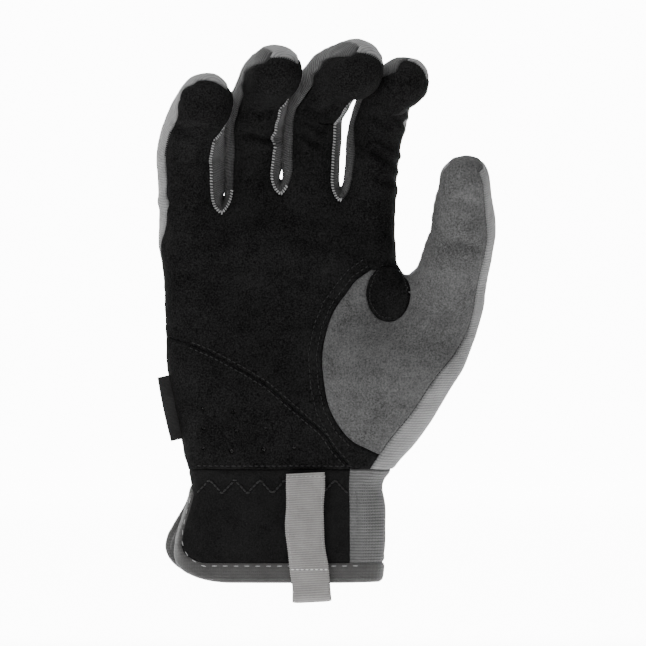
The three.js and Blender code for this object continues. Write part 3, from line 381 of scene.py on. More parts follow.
def split_ring(ring, first, last, at, bridge):
    """Part a ring in two at a column, each half closed by the bridge."""
    steps = last - first
    left_steps = at - first
    front = ring[:steps + 1]
    right = ring[steps + 1:steps + side_steps]
    back = ring[steps + side_steps:2 * steps + side_steps + 1]
    left = ring[2 * steps + side_steps + 1:]
    back_at = steps - left_steps
    return (front[:left_steps + 1] + bridge + back[back_at:] + left,
            front[left_steps:] + right + back[:back_at + 1] + bridge[::-1])


def bridge_points(left_ring, left_steps, right_ring):
    """Points through a crotch, half way between the rings on its two sides."""
    spots = [(left_ring[left_steps + k] + right_ring[-k]) / 2 for k in range(1, side_steps)]
    return [add_point(spot, spot[2]) for spot in spots]


# The hand from the wrist to the crotch of the thumb: rings that turn, on the thumb's side,
# into the thumb's own root.
hand_rows = 11
lobe_span = 0.3 * palm_height
wrist_ring = None
ring = None
for row in range(hand_rows + 1):
    heights = {c: mix(cuff_height, crotch_z(c), row / hand_rows) for c in range(all_columns + 1)}
    whole = hand_ring(heights.get, False)
    palm = hand_ring(heights.get, True)
    far_back = 2 * all_columns + side_steps - palm_columns
    following = []
    for index, place in enumerate(whole):
        column = column_of(index, 0, all_columns)
        z = heights[column]
        weight = ease(1 - (crotch_z(column) - z) / lobe_span)
        on_thumb = palm_columns <= index <= far_back
        on_palm = index <= palm_columns or index >= far_back
        own_palm = palm[index if index <= palm_columns else index - 2 * finger_steps] if on_palm else None
        target = own_palm
        if on_thumb:
            X, Y = digit_shares[index - palm_columns]
            target = digit_point(thumb, (z - crotch_z(column)) / thumb["length"], X, Y)
            if on_palm:
                target = (target + own_palm) / 2
        following.append(add_point(mix(place, target, weight), z))
    if ring:
        join_rings(ring, following, all_columns, "hand")
    else:
        wrist_ring = following
    ring = following

thumb_bridge = bridge_points(hand_ring(crotch_z, True), palm_columns, digit_ring(thumb, lambda i: 0))
palm_ring, thumb_ring = split_ring(ring, 0, all_columns, palm_columns, thumb_bridge)

# The palm above the thumb: rings that turn into the roots of the four fingers.
upper_rows = 5
finger_span = 0.13 * palm_height
ring = palm_ring
for row in range(1, upper_rows + 1):
    heights = {c: mix(crotch_z(0), root_z(c), row / upper_rows) for c in range(palm_columns + 1)}
    following = []
    for index, place in enumerate(hand_ring(heights.get, True)):
        column = column_of(index, 0, palm_columns)
        z = heights[column]
        weight = ease(1 - (root_z(column) - z) / finger_span)
        on_front = index <= palm_columns
        on_back = palm_columns + side_steps <= index <= 2 * palm_columns + side_steps
        targets = []
        for number, finger in enumerate(fingers):
            own = column - number * finger_steps
            if own < 0 or own > finger_steps:
                continue
            s = (z - base_z(number)) / finger["length"]
            spot = own
            if on_back:
                spot = 2 * finger_steps + side_steps - own
            elif not on_front and index < palm_columns + side_steps:
                spot = finger_steps + index - palm_columns
            elif not on_front:
                spot = 2 * finger_steps + side_steps + index - 2 * palm_columns - side_steps
            targets.append(digit_point(finger, s, *digit_shares[spot % len(digit_shares)]))
        following.append(add_point(mix(place, sum(targets) / len(targets), weight), z))
    join_rings(ring, following, palm_columns, "palm")
    ring = following

# The digits: each finger takes its share of the last ring, with a bridge in each crotch, and
# the thumb takes the ring at its root.
row_height = 6.4
cap_rows = 2
cap_turn = 0.26
cap_run = 1.4


def grow_digit(digit, root_ring, root_station, base):
    """Rings up a digit from its root, two rings round its end, and a grid that closes it."""
    straight = 1 - cap_share
    rows = max(4, round(digit["length"] * straight / row_height))
    low = root_ring
    for row in range(1, rows + 1):
        s = straight * row / rows
        settle = ease(1 - row / 4)
        places = digit_ring(digit, lambda i: s + settle * root_station(i))
        following = [add_point(place, base + s * digit["length"]) for place in places]
        join_rings(low, following, finger_steps, digit["name"])
        low = following

    def cap_point(X, Y):
        reach = math.sqrt(max(1 - X * X - Y * Y, 0))
        aim = digit["line"](straight)[1]
        spot = digit_point(digit, straight, X, Y) + aim * reach * cap_share * digit["length"]
        return add_point(spot, base + (straight + cap_run * reach * cap_share) * digit["length"])

    for row in range(1, cap_rows + 1):
        size = math.cos(math.pi * cap_turn * row / cap_rows)
        following = [cap_point(X * size, Y * size) for X, Y in digit_shares]
        join_rings(low, following, finger_steps, digit["name"], True)
        low = following
    grid = []
    for j in range(side_steps + 1):
        line = []
        for i in range(finger_steps + 1):
            if j == 0:
                line.append(low[i])
            elif j == side_steps:
                line.append(low[2 * finger_steps + side_steps - i])
            elif i == finger_steps:
                line.append(low[finger_steps + j])
            elif i == 0:
                line.append(low[-j])
            else:
                front, back = digit_shares[i], digit_shares[2 * finger_steps + side_steps - i]
                right, left = digit_shares[finger_steps + j], digit_shares[-j]
                X, Y = (
                    (mix(front[k], back[k], j / side_steps) + mix(left[k], right[k], i / finger_steps)) / 2
                    for k in (0, 1)
                )
                line.append(cap_point(X * size, Y * size))
        grid.append(line)
    for j in range(side_steps):
        for i in range(finger_steps):
            corners = [grid[j][i], grid[j][i + 1], grid[j + 1][i + 1], grid[j + 1][i]]
            add_quad(corners, digit["name"], "tip", j, (i, i + 1, i + 1, i), True)


def root_station(number):
    """For the points round a finger's root, how far each lies above or below its middle."""
    def station(index):
        column = column_of(index, number * finger_steps, finger_steps)
        return (root_z(column) - base_z(number)) / fingers[number]["length"]

    return station


rest = ring
for number, finger in enumerate(fingers):
    own = rest
    if number < len(fingers) - 1:
        own_ring = digit_ring(finger, root_station(number))
        next_ring = digit_ring(fingers[number + 1], root_station(number + 1))
        bridge = bridge_points(own_ring, finger_steps, next_ring)
        first_column = number * finger_steps
        own, rest = split_ring(rest, first_column, palm_columns, first_column + finger_steps, bridge)
    grow_digit(finger, own, root_station(number), base_z(number))
grow_digit(thumb, thumb_ring, lambda i: 0, crotch_z(palm_columns + finger_steps / 2))
points = np.array(points)

# Evened out where the digits part: soft rounds first, then pairs of rounds that smooth the
# skin and push it out again, so that it keeps its size.
soft_rounds = 10
even_pairs = 8
pull_in, push_out = 0.5, -0.45
even_weight = {"start": 1.3, "soft": 1.7, "even": 1.0}
thumb_span = 0.22 * palm_height


def near_sum(rows, first, second):
    """For each point, the sum of the points at the other end of its edges."""
    total = np.zeros_like(rows)
    np.add.at(total, first, rows[second])
    np.add.at(total, second, rows[first])
    return total


edges = {}
for quad in quads:
    for k in range(4):
        a, b = quad[k], quad[(k + 1) % 4]
        edges[min(a, b), max(a, b)] = edges.get((min(a, b), max(a, b)), 0) + 1
pairs = np.array(list(edges))
open_edge = np.zeros(len(points), bool)
open_edge[pairs[np.array(list(edges.values())) == 1].ravel()] = True
crotch_spots = [(points[thumb_bridge[1]][0], points[thumb_bridge[1]][2], thumb_span)]
for column in range(finger_steps, palm_columns, finger_steps):
    x = knuckle_left + column_share[column] * knuckle_width
    crotch_spots.append((x, root_z(column), finger_span))
degree = np.bincount(pairs.ravel(), minlength=len(points))[:, None]
for turn in range(soft_rounds + 2 * even_pairs):
    soft = turn < soft_rounds
    step = pull_in if soft or turn % 2 == 0 else push_out
    near = np.min([
        np.hypot(points[:, 0] - x, points[:, 2] - z) / reach for x, z, reach in crotch_spots
    ], axis=0)
    weight = step * ease(even_weight["start"] - near * even_weight["soft" if soft else "even"])
    weight[open_edge] = 0
    points = mix(points, near_sum(points, *pairs.T) / degree, weight[:, None])

# The cuff hangs from the wrist ring as one strip, open at the little finger's side. Its two
# ends flare a little at the vent, and the knit of its back is gathered by the elastic in it.
cuff_rows = 7
vent_height = 37.0
vent_flare = {"front": 1.0, "back": 6.0, "apart": 3.0, "reach": 0.12}
vent_corner = {"along": 30.0, "front": 17.0, "back": 25.0}
elastic = {"up": 0.72, "tall": 0.25, "gather": 0.5}
vent_start = 2 * all_columns + side_steps + side_steps // 2
gusset_step = side_steps // 2 + palm_columns
points = list(points)


def strip_ring(ring_points):
    return ring_points[vent_start:] + ring_points[:vent_start] + [ring_points[vent_start]]


def measure_row(row):
    """How far each point of a row is from the vent, and the size of the vent's corner there."""
    flat = np.array([points[corner][:2] for corner in row])
    run = np.concatenate([[0], np.cumsum(np.hypot(*np.diff(flat, axis=0).T))])
    corner = np.where(run < run[-1] / 2, vent_corner["front"], vent_corner["back"])
    return np.minimum(run, run[-1] - run), corner


upper_row = strip_ring(wrist_ring)
upper_run = measure_row(upper_row)
cuff_first = len(quads)
cuff_run = []
for row in range(1, cuff_rows + 1):
    z = mix(cuff_height, 0, row / cuff_rows)
    opened = ease((vent_height - z) / (0.7 * vent_height))
    pull = math.exp(-(((z / cuff_height - elastic["up"]) / elastic["tall"]) ** 2))
    strip = strip_ring(hand_ring(lambda column: z, False))
    lower_row = []
    for index, spot in enumerate(strip):
        spot = spot.copy()
        place = index / (len(strip) - 1)
        out = np.array([spot[0], spot[1], 0]) / math.hypot(spot[0], spot[1])
        if index > gusset_step:
            spot += out * (-1 if index % 2 else 1) * elastic["gather"] * pull
        near_start = opened * ease(1 - place / vent_flare["reach"])
        near_end = opened * ease(1 - (1 - place) / vent_flare["reach"])
        spot[0] -= near_start * vent_flare["front"] + near_end * vent_flare["back"]
        spot[1] += (near_end - near_start) * vent_flare["apart"]
        lower_row.append(add_point(spot, z))
    lower_run = measure_row(lower_row)
    for i in range(len(lower_row) - 1):
        zone = "cuff_palm_panel" if i < gusset_step else "cuff_back_panel"
        corners = [lower_row[i], lower_row[i + 1], upper_row[i + 1], upper_row[i]]
        add_quad(corners, zone, "cuff", i, (i, i + 1, i + 1, i))
        cuff_run.append([
            (lower_run[0][i], lower_run[1][i]), (lower_run[0][i + 1], lower_run[1][i + 1]),
            (upper_run[0][i + 1], upper_run[1][i + 1]), (upper_run[0][i], upper_run[1][i]),
        ])
    upper_row, upper_run = lower_row, lower_run

# The fine skin: the coarse one is rounded off by halving its steps three times. The faces'
# corners carry four fields: the run round the hand for the weave, the run from the vent, the
# size of the vent's corner, and the steps back from the front along the little finger's side.
around_step = 5.6
points = np.column_stack([np.array(points), run_up])
quads = np.array(quads)
corner_fields = np.zeros((len(quads), 4, 4))
corner_fields[:, :, 0] = np.array(quad_round) * around_step
corner_fields[cuff_first:, :, 1:3] = cuff_run
for index, (side, column) in enumerate(zip(quad_side, quad_column)):
    if side == "left":
        behind = side_steps - column
        corner_fields[index, :, 3] = (behind, behind - 1, behind - 1, behind)


def edge_table(faces, count):
    a, b = faces, np.roll(faces, -1, 1)
    key = (np.minimum(a, b).astype(np.int64) * count + np.maximum(a, b)).ravel()
    unique, inverse, uses = np.unique(key, return_inverse=True, return_counts=True)
    return unique // count, unique % count, inverse.reshape(-1, 4), uses


def rest_points(skin, faces):
    """Where the skin's own points come to rest once it is rounded off."""
    count = len(skin)
    first, second, inverse, uses = edge_table(faces, count)
    fans = np.bincount(faces.ravel(), minlength=count)[:, None]
    near = np.zeros_like(skin)
    far = np.zeros_like(skin)
    rim = np.zeros_like(skin)
    inner, outer = uses == 2, uses == 1
    for a, b in ((first, second), (second, first)):
        np.add.at(near, a[inner], skin[b[inner]])
        np.add.at(rim, a[outer], skin[b[outer]])
    for k in range(4):
        np.add.at(far, faces[:, k], skin[faces[:, (k + 2) % 4]])
    settled = (fans ** 2 * skin + 4 * near + far) / (fans * (fans + 5))
    on_rim = np.zeros(count, bool)
    on_rim[first[outer]] = True
    on_rim[second[outer]] = True
    settled[on_rim] = (4 * skin[on_rim] + rim[on_rim]) / 6
    return settled


def halve(skin, faces, fields):
    """Each face in four, with the points moved to round the skin off."""
    count = len(skin)
    first, second, inverse, uses = edge_table(faces, count)
    centre = skin[faces].mean(1)
    middle = (skin[first] + skin[second]) / 2
    gathered = np.zeros_like(middle)
    np.add.at(gathered, inverse.ravel(), np.repeat(centre, 4, 0))
    inner, outer = uses == 2, uses == 1
    edge_spot = np.where(inner[:, None], (2 * middle + gathered) / 4, middle)
    fans = np.bincount(faces.ravel(), minlength=count)[:, None]
    round_centre = np.zeros_like(skin)
    np.add.at(round_centre, faces.ravel(), np.repeat(centre, 4, 0))
    round_edge = np.zeros_like(skin)
    rim = np.zeros_like(skin)
    for end in (first, second):
        np.add.at(round_edge, end, middle)
        np.add.at(rim, end[outer], middle[outer])
    moved = (round_centre / fans + 2 * round_edge / fans + (fans - 3) * skin) / fans
    on_rim = np.zeros(count, bool)
    on_rim[first[outer]] = True
    on_rim[second[outer]] = True
    moved[on_rim] = skin[on_rim] / 2 + rim[on_rim] / 4
    edge_id = count + inverse
    centre_id = count + len(first) + np.arange(len(faces))
    mean = fields.mean(1)
    new_faces = []
    new_fields = []
    for k in range(4):
        after, before = (k + 1) % 4, (k + 3) % 4
        new_faces.append(np.column_stack([faces[:, k], edge_id[:, k], centre_id, edge_id[:, before]]))
        new_fields.append(np.stack([
            fields[:, k], (fields[:, k] + fields[:, after]) / 2, mean,
            (fields[:, k] + fields[:, before]) / 2,
        ], 1))
    order = np.arange(len(faces) * 4).reshape(4, -1).T.ravel()
    return (np.vstack([moved, edge_spot, centre]), np.vstack(new_faces)[order], np.vstack(new_fields)[order])


def point_normals(skin, faces):
    """The way out of the skin at each point."""
    cross = np.cross(skin[faces[:, 2]] - skin[faces[:, 0]], skin[faces[:, 3]] - skin[faces[:, 1]])
    normals = np.zeros_like(skin)
    for k in range(4):
        np.add.at(normals, faces[:, k], cross)
    return normals / np.maximum(np.linalg.norm(normals, axis=1), 1e-9)[:, None]


# What rounding off would take away is put back first; on the cuff only straight outward.
restore_rounds = 3
restore_span = 20.0
wanted = points.copy()
out = point_normals(points[:, :3], quads)
above_cuff = ease((points[:, 2] - cuff_height) / restore_span)[:, None]
for turn in range(restore_rounds):
    missing = wanted - rest_points(points, quads)
    straight_out = out * (missing[:, :3] * out).sum(1)[:, None]
    missing[:, :3] = mix(straight_out, missing[:, :3], above_cuff)
    points += missing
fine_levels = 3
skin, faces, fields = points, quads, corner_fields
for level in range(fine_levels):
    skin, faces, fields = halve(skin, faces, fields)
parent = np.arange(len(faces)) // 4 ** fine_levels
skin_up = skin[:, 3].copy()
skin = skin[:, :3].copy()
zone_of = np.array(quad_zone)[parent]
side_of = np.array(quad_side)[parent]
column_at = np.array(quad_column)[parent]
cap_of = np.array(quad_cap)[parent]

# Soft folds that the worn cloth keeps: slow hollows all over, and creases on the palm's
# side where the fingers bend. Each crease is a line seen from the palm, in x and z.
soft_rise = 0.8
hollows = ((1.0, 0.045, 0), (0.6, 0.11, 40))
normals = point_normals(skin, faces)
slow = np.array([
    sum(share * noise.noise(Vector(spot * pitch + start)) for share, pitch, start in hollows)
    for spot in skin
])
above_hem = ease((skin[:, 2] - 4) / 20)
on_digits = ease((skin[:, 2] - 150) / 30)
loose = above_hem * (0.6 + 0.4 * on_digits)
skin += normals * (slow * soft_rise * loose)[:, None]
crease_depth = 1.4
crease_fade = 0.25
crease_bank = {"rise": 0.5, "out": 2.1}
creases = [
    # line, depth, half width, zones
    ([(45, 195), (49, 194), (53, 192)], 0.8, 1.3, "index"),
    ([(35, 196.5), (42, 193.5), (47, 190)], 0.8, 1.6, "index"),
    ([(36.5, 182), (44, 178), (50, 175)], 1.0, 1.5, "index"),
    ([(38, 170), (44, 168.5), (50, 169)], 0.6, 1.8, "index"),
    ([(-15, 198), (-9, 196), (-2, 198.5)], 1.2, 1.4, "ring"),
    ([(-16, 189), (-8, 186.5), (0, 186)], 0.9, 1.6, "ring"),
    ([(8, 189.5), (12, 185.5), (17, 183.5)], 0.9, 1.5, "middle"),
    ([(9, 199), (16, 196), (24, 200)], 1.2, 1.5, "middle"),
    ([(-52, 155), (-44, 164), (-34, 173.5)], 0.8, 1.6, "little palm"),
    ([(-47, 192), (-40, 189), (-30, 192)], 0.7, 1.7, "little"),
    ([(-11, 100.5), (-1, 107), (10, 112)], 0.6, 2.2, "hand palm"),
    ([(-44, 128), (-26, 134), (-8, 133)], 0.45, 2.6, "hand palm"),
    ([(-20, 141), (2, 146), (26, 141)], 0.5, 2.6, "palm"),
    ([(38, 121), (44, 128), (48, 138)], 0.6, 1.8, "palm hand"),
    ([(66, 158), (73, 160), (80, 157)], 0.6, 1.8, "thumb"),
    ([(64, 140), (74, 143), (84, 139)], 0.7, 2.2, "thumb"),
    ([(56, 118), (66, 112), (76, 112)], 0.6, 2.6, "thumb hand"),
]
in_zone = {}
for zone in ("hand", "palm", "thumb", "little", "ring", "middle", "index"):
    in_zone[zone] = np.zeros(len(skin), bool)
    in_zone[zone][faces[zone_of == zone].ravel()] = True


def line_distance(line, x, z):
    """Distance in the palm's view to a line, and how far along it, as a share."""
    best = np.full(len(x), 1e9)
    along = np.zeros(len(x))
    run = np.concatenate([[0], np.cumsum([math.dist(a, b) for a, b in zip(line, line[1:])])])
    for (ax, az), (bx, bz), start, end in zip(line, line[1:], run, run[1:]):
        dx, dz = bx - ax, bz - az
        share = clamp(((x - ax) * dx + (z - az) * dz) / (dx * dx + dz * dz))
        away = np.hypot(x - ax - share * dx, z - az - share * dz)
        closer = away < best
        best = np.where(closer, away, best)
        along = np.where(closer, mix(start, end, share) / run[-1], along)
    return best, along


creasing = np.zeros(len(skin))
for line, depth, width, zones in creases:
    away, along = line_distance(line, skin[:, 0], skin[:, 2])
    here = np.any([in_zone[zone] for zone in zones.split()], axis=0) & (normals[:, 1] < 0.1)
    fade = ease(along / crease_fade + 0.25) * ease((1 - along) / crease_fade + 0.25)
    bank = np.exp(-((away - crease_bank["out"] * width) / width) ** 2)
    shape = -np.exp(-(away / width) ** 2) + crease_bank["rise"] * bank
    creasing += np.where(here, crease_depth * depth * fade * shape, 0)
skin += normals * creasing[:, None]
normals = point_normals(skin, faces)

# How panels are cut: a cut parts the faces along the line where a value changes sign, and
# both sides keep the same points, so that the seam between them is one clean line.
data = {"spot": skin, "normal": normals, "up": skin_up}
for word, column in (("vent", 1), ("corner", 2), ("front", 3)):
    data[word] = np.zeros(len(skin))
    data[word][faces.ravel()] = fields[:, :, column].ravel()
    if word == "front":
        left = side_of == "left"
        data[word][faces[left].ravel()] = fields[left][:, :, column].ravel()
poly_corners = faces.tolist()
poly_round = fields[:, :, 0].tolist()
close_share = 0.3


def cut(chosen, value):
    """Part the chosen faces where the value is 0: those below it, and those above it.

    A point that lies close to the line is first drawn onto it, so that no slivers are left.
    """
    value = np.where(np.abs(value) < 0.01, 0, value)
    nearest = {}
    for index in chosen:
        corners = poly_corners[index]
        values = value[corners]
        if values.min() >= 0 or values.max() <= 0:
            continue
        for k, corner in enumerate(corners):
            for after in ((k + 1) % len(corners), k - 1):
                if values[k] * values[after] >= 0:
                    continue
                share = values[k] / (values[k] - values[after])
                if share < min(close_share, nearest.get(corner, (1, 0))[0]):
                    nearest[corner] = (share, corners[after])
    if nearest:
        settled = np.array(list(nearest))
        share = np.array([row[0] for row in nearest.values()])
        other = np.array([row[1] for row in nearest.values()])
        for word, rows in data.items():
            weight = share if rows.ndim == 1 else share[:, None]
            rows[settled] = mix(rows[settled], rows[other], weight)
        value[settled] = 0
    below, above = [], []
    made = {}
    crossings = []
    count = len(data["spot"])
    for index in chosen:
        corners = poly_corners[index]
        values = [value[corner] for corner in corners]
        if min(values) >= 0:
            above.append(index)
            continue
        if max(values) <= 0:
            below.append(index)
            continue
        low, high = [], []
        for k, corner in enumerate(corners):
            after = (k + 1) % len(corners)
            here = (corner, poly_round[index][k])
            if values[k] <= 0:
                low.append(here)
            if values[k] >= 0:
                high.append(here)
            if values[k] * values[after] < 0:
                share = values[k] / (values[k] - values[after])
                key = (min(corner, corners[after]), max(corner, corners[after]))
                if key not in made:
                    made[key] = count + len(crossings)
                    crossings.append((corner, corners[after], share))
                cross = (made[key], mix(poly_round[index][k], poly_round[index][after], share))
                low.append(cross)
                high.append(cross)
        for half, side in ((low, below), (high, above)):
            if len(half) > 2:
                side.append(len(poly_corners))
                poly_corners.append([corner for corner, around in half])
                poly_round.append([around for corner, around in half])
    if crossings:
        a, b, share = (np.array(column) for column in zip(*crossings))
        for word, rows in data.items():
            weight = share if rows.ndim == 1 else share[:, None]
            data[word] = np.concatenate([rows, mix(rows[a], rows[b], weight)])
    return below, above


def where(mask):
    return np.nonzero(mask)[0].tolist()


# Which faces go to which panel, before the palm's face is cut up. The black suede wraps
# round the fingertips from the front, on the ring and middle fingers from lower down.
wrap_left = {"little": 0.81, "ring": 0.7, "middle": 0.7, "index": 2}
wrap_right = {"little": 0.66, "ring": 0.66, "middle": 0.66, "index": 2}
wrap_step = 0.06
from_front = side_steps - 1 - column_at
tip_share = np.zeros(len(skin))
for number, finger in enumerate(fingers):
    own = np.unique(faces[zone_of == finger["name"]])
    tip_share[own] = (skin_up[own] - base_z(number)) / finger["length"]
face_share = tip_share[faces].mean(1)
is_finger = np.isin(zone_of, [finger["name"] for finger in fingers])
front_half = np.where(side_of == "right", column_at < side_steps // 2, column_at >= side_steps // 2)
over_tip = is_finger & cap_of & (side_of == "right")
for name in wrap_left:
    on_left, on_right = ((zone_of == name) & (side_of == side) for side in ("left", "right"))
    over_tip |= on_left & front_half & (face_share > wrap_left[name] + wrap_step * from_front)
    over_tip |= on_right & (face_share > wrap_right[name] + wrap_step * column_at)
behind_tip = (side_of == "tip") & (column_at == side_steps - 1)
front_side = is_finger & np.isin(side_of, ["front", "tip"]) & ~behind_tip
little_side = ~over_tip & (side_of == "left") & np.isin(zone_of, ["little", "hand", "palm"])
index_side = (zone_of == "index") & (side_of == "right") & ~over_tip
thumb_web = (zone_of == "thumb") & (side_of == "left") & front_half
thumb_front = (zone_of == "thumb") & np.isin(side_of, ["front", "tip"])
palm_web = (zone_of == "palm") & (side_of == "right") & front_half
palm_face = np.isin(zone_of, ["hand", "palm"]) & (side_of == "front")
black = over_tip | front_side | (index_side & front_half)
gusset_of = {}
for low, high in zip(fingers, fingers[1:]):
    right = (zone_of == low["name"]) & (side_of == "right")
    left = (zone_of == high["name"]) & (side_of == "left")
    gusset_of["fourchette_" + low["name"] + "_" + high["name"]] = (right | left) & ~over_tip
is_cuff = side_of == "cuff"
is_back = ~(black | little_side | thumb_web | thumb_front | palm_web | palm_face | is_cuff)
for mask in gusset_of.values():
    is_back &= ~mask

# The black fingertips end in a smooth line: their edge is evened out between the coarse
# steps, and the skin round it follows.
tip_from = 0.58
tip_rounds = 30
follow_rounds = 120
follow_share = 0.97
first, second, inverse, uses = edge_table(faces, len(skin))
dark_sides = np.bincount(inverse.ravel(), weights=np.repeat(black, 4))
on_tip = tip_share > tip_from
tip_edge = on_tip[first] & on_tip[second]
line_edge = (uses == 2) & (dark_sides == 1) & tip_edge
line_ends = first[line_edge], second[line_edge]
line_uses = np.bincount(np.concatenate(line_ends), minlength=len(skin))
on_line = line_uses == 2
evened = skin.copy()
for turn in range(tip_rounds):
    evened[on_line] = mix(evened[on_line], near_sum(evened, *line_ends)[on_line] / 2, 0.5)
shift = evened - skin
free = on_tip & (line_uses == 0)
ends = first[tip_edge], second[tip_edge]
around = np.maximum(np.bincount(np.concatenate(ends), minlength=len(skin)), 1)[:, None]
for turn in range(follow_rounds):
    shift[free] = (near_sum(shift, *ends) / around)[free] * follow_share
shift -= normals * (shift * normals).sum(1)[:, None]
old_skin = BVHTree.FromPolygons(skin.tolist(), faces.tolist())
for k in np.nonzero(np.linalg.norm(shift, axis=1) > 0.01)[0]:
    skin[k] = old_skin.find_nearest(skin[k] + shift[k])[0]
normals = point_normals(skin, faces)
data["spot"], data["normal"] = skin, normals

# The side seam runs up the little finger's side: suede in front of it, knit behind it.
side_seam = table("at front", [(0, 2), (0.72, 2), (0.93, 0.2), (1.02, 0), (2, 0)])
seam_front = read(side_seam, "at", up_share(data["spot"][:, 2]), "front")
side_step = palm_depth / 6
side_black, side_grey = cut(where(little_side), (data["front"] - seam_front) * side_step)

# The palm's face is parted as the pattern is laid out: first the round patch in the crotch of
# the thumb, then the thumb's panel, and last the heel. What is left is the palm.
crotch_patch = {"across": 0.437, "up": 0.665, "wide": 0.088, "tall": 0.105, "size": 9.0}
patch_value = np.hypot(
    (data["spot"][:, 0] / knuckle_width - crotch_patch["across"]) / crotch_patch["wide"],
    (up_share(data["spot"][:, 2]) - crotch_patch["up"]) / crotch_patch["tall"],
) - 1
on_face = palm_face | palm_web
patch_cut, around_patch = cut(where(on_face | thumb_web), patch_value * crotch_patch["size"])
thumb_webs = set(where(thumb_web))
web_points = set(faces[thumb_web].ravel().tolist()) - set(faces[on_face].ravel().tolist())
thumb_side_cut = [
    index for index in around_patch
    if index in thumb_webs or (index >= len(faces) and any(c in web_points for c in poly_corners[index]))
]
palm_rest = sorted(set(around_patch) - set(thumb_side_cut))
thumb_edge = table("up across", [
    (0.05, 0.41), (0.077, 0.35), (0.103, 0.293), (0.153, 0.24), (0.228, 0.194), (0.32, 0.171),
    (0.429, 0.163), (0.537, 0.186), (0.608, 0.219), (0.666, 0.265), (0.714, 0.306), (0.755, 0.37),
])
up = up_share(data["spot"][:, 2])
thumb_value = np.maximum.reduce([
    read(thumb_edge, "up", up, "across") * knuckle_width - data["spot"][:, 0],
    (thumb_edge["up"][0] - up) * palm_height, (up - thumb_edge["up"][-1]) * palm_height,
])
thumb_cut, black_cut = cut(palm_rest, thumb_value)
heel_edge = table("across up", [
    (-0.6, 0.52), (-0.467, 0.497), (-0.38, 0.471), (-0.293, 0.438), (-0.215, 0.4), (-0.149, 0.367),
    (-0.062, 0.318), (0.062, 0.22), (0.169, 0.138), (0.214, 0.077), (0.27, 0.02), (0.34, -0.06),
    (0.9, -0.6),
])
finger_faces = set(where(is_finger))
hand_top = knuckle_z - 12


def on_hand(index):
    if index < len(faces):
        return index not in finger_faces
    return data["spot"][poly_corners[index][0]][2] <= hand_top


edge_black = [index for index in side_black if on_hand(index)]
finger_side_black = sorted(set(side_black) - set(edge_black))
across = data["spot"][:, 0] / knuckle_width
heel_value = (up_share(data["spot"][:, 2]) - read(heel_edge, "across", across, "up")) * palm_height
heel_cut, palm_cut = cut(black_cut + edge_black, heel_value)

# The palm panel: one piece of black synthetic suede over the palm, the finger fronts and
# the fingertips. Its edges turn down into the seams, where two rows of thread hold it.
suede_wall = 1.4
seam_gap = -0.08
edge_roll = 1.5
edge_bevel = 0.2
mm = 0.001


def outline(polygons):
    """The open edges of a piece, as pairs of points."""
    sizes = np.array([len(corners) for corners in polygons])
    flat = np.concatenate(polygons)
    ends = np.cumsum(sizes)
    following = np.arange(len(flat)) + 1
    following[ends - 1] = ends - sizes
    following = flat[following]
    count = int(flat.max()) + 1
    key = np.minimum(flat, following).astype(np.int64) * count + np.maximum(flat, following)
    unique, inverse, uses = np.unique(key, return_inverse=True, return_counts=True)
    single = uses[inverse.ravel()] == 1
    return np.column_stack([flat[single], following[single]])


def make_piece(name, spots, polygons, material, replaced=None):
    """A smooth mesh from points in millimetres, held by the glove's one body."""
    mesh = bpy.data.meshes.new(name)
    mesh.from_pydata((np.array(spots) * mm).tolist(), [], polygons)
    mesh.polygons.foreach_set("use_smooth", np.ones(len(polygons), bool))
    mesh.materials.append(material)
    piece = bpy.data.objects.new(name, mesh)
    bpy.context.collection.objects.link(piece)
    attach(piece, "root")
    if replaced:
        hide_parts(replaced)
    return mesh


def lay_weave(mesh, uv):
    """Where the weave runs on the mesh, in metres, for the ribs of its material."""
    layer = mesh.uv_layers.new(name="cloth")
    layer.data.foreach_set("uv", np.array(uv, np.float32).ravel())


panels = {}
puckers = {"reach": 5.0, "pitch": 0.3, "start": 0.4, "rise": 1.5}


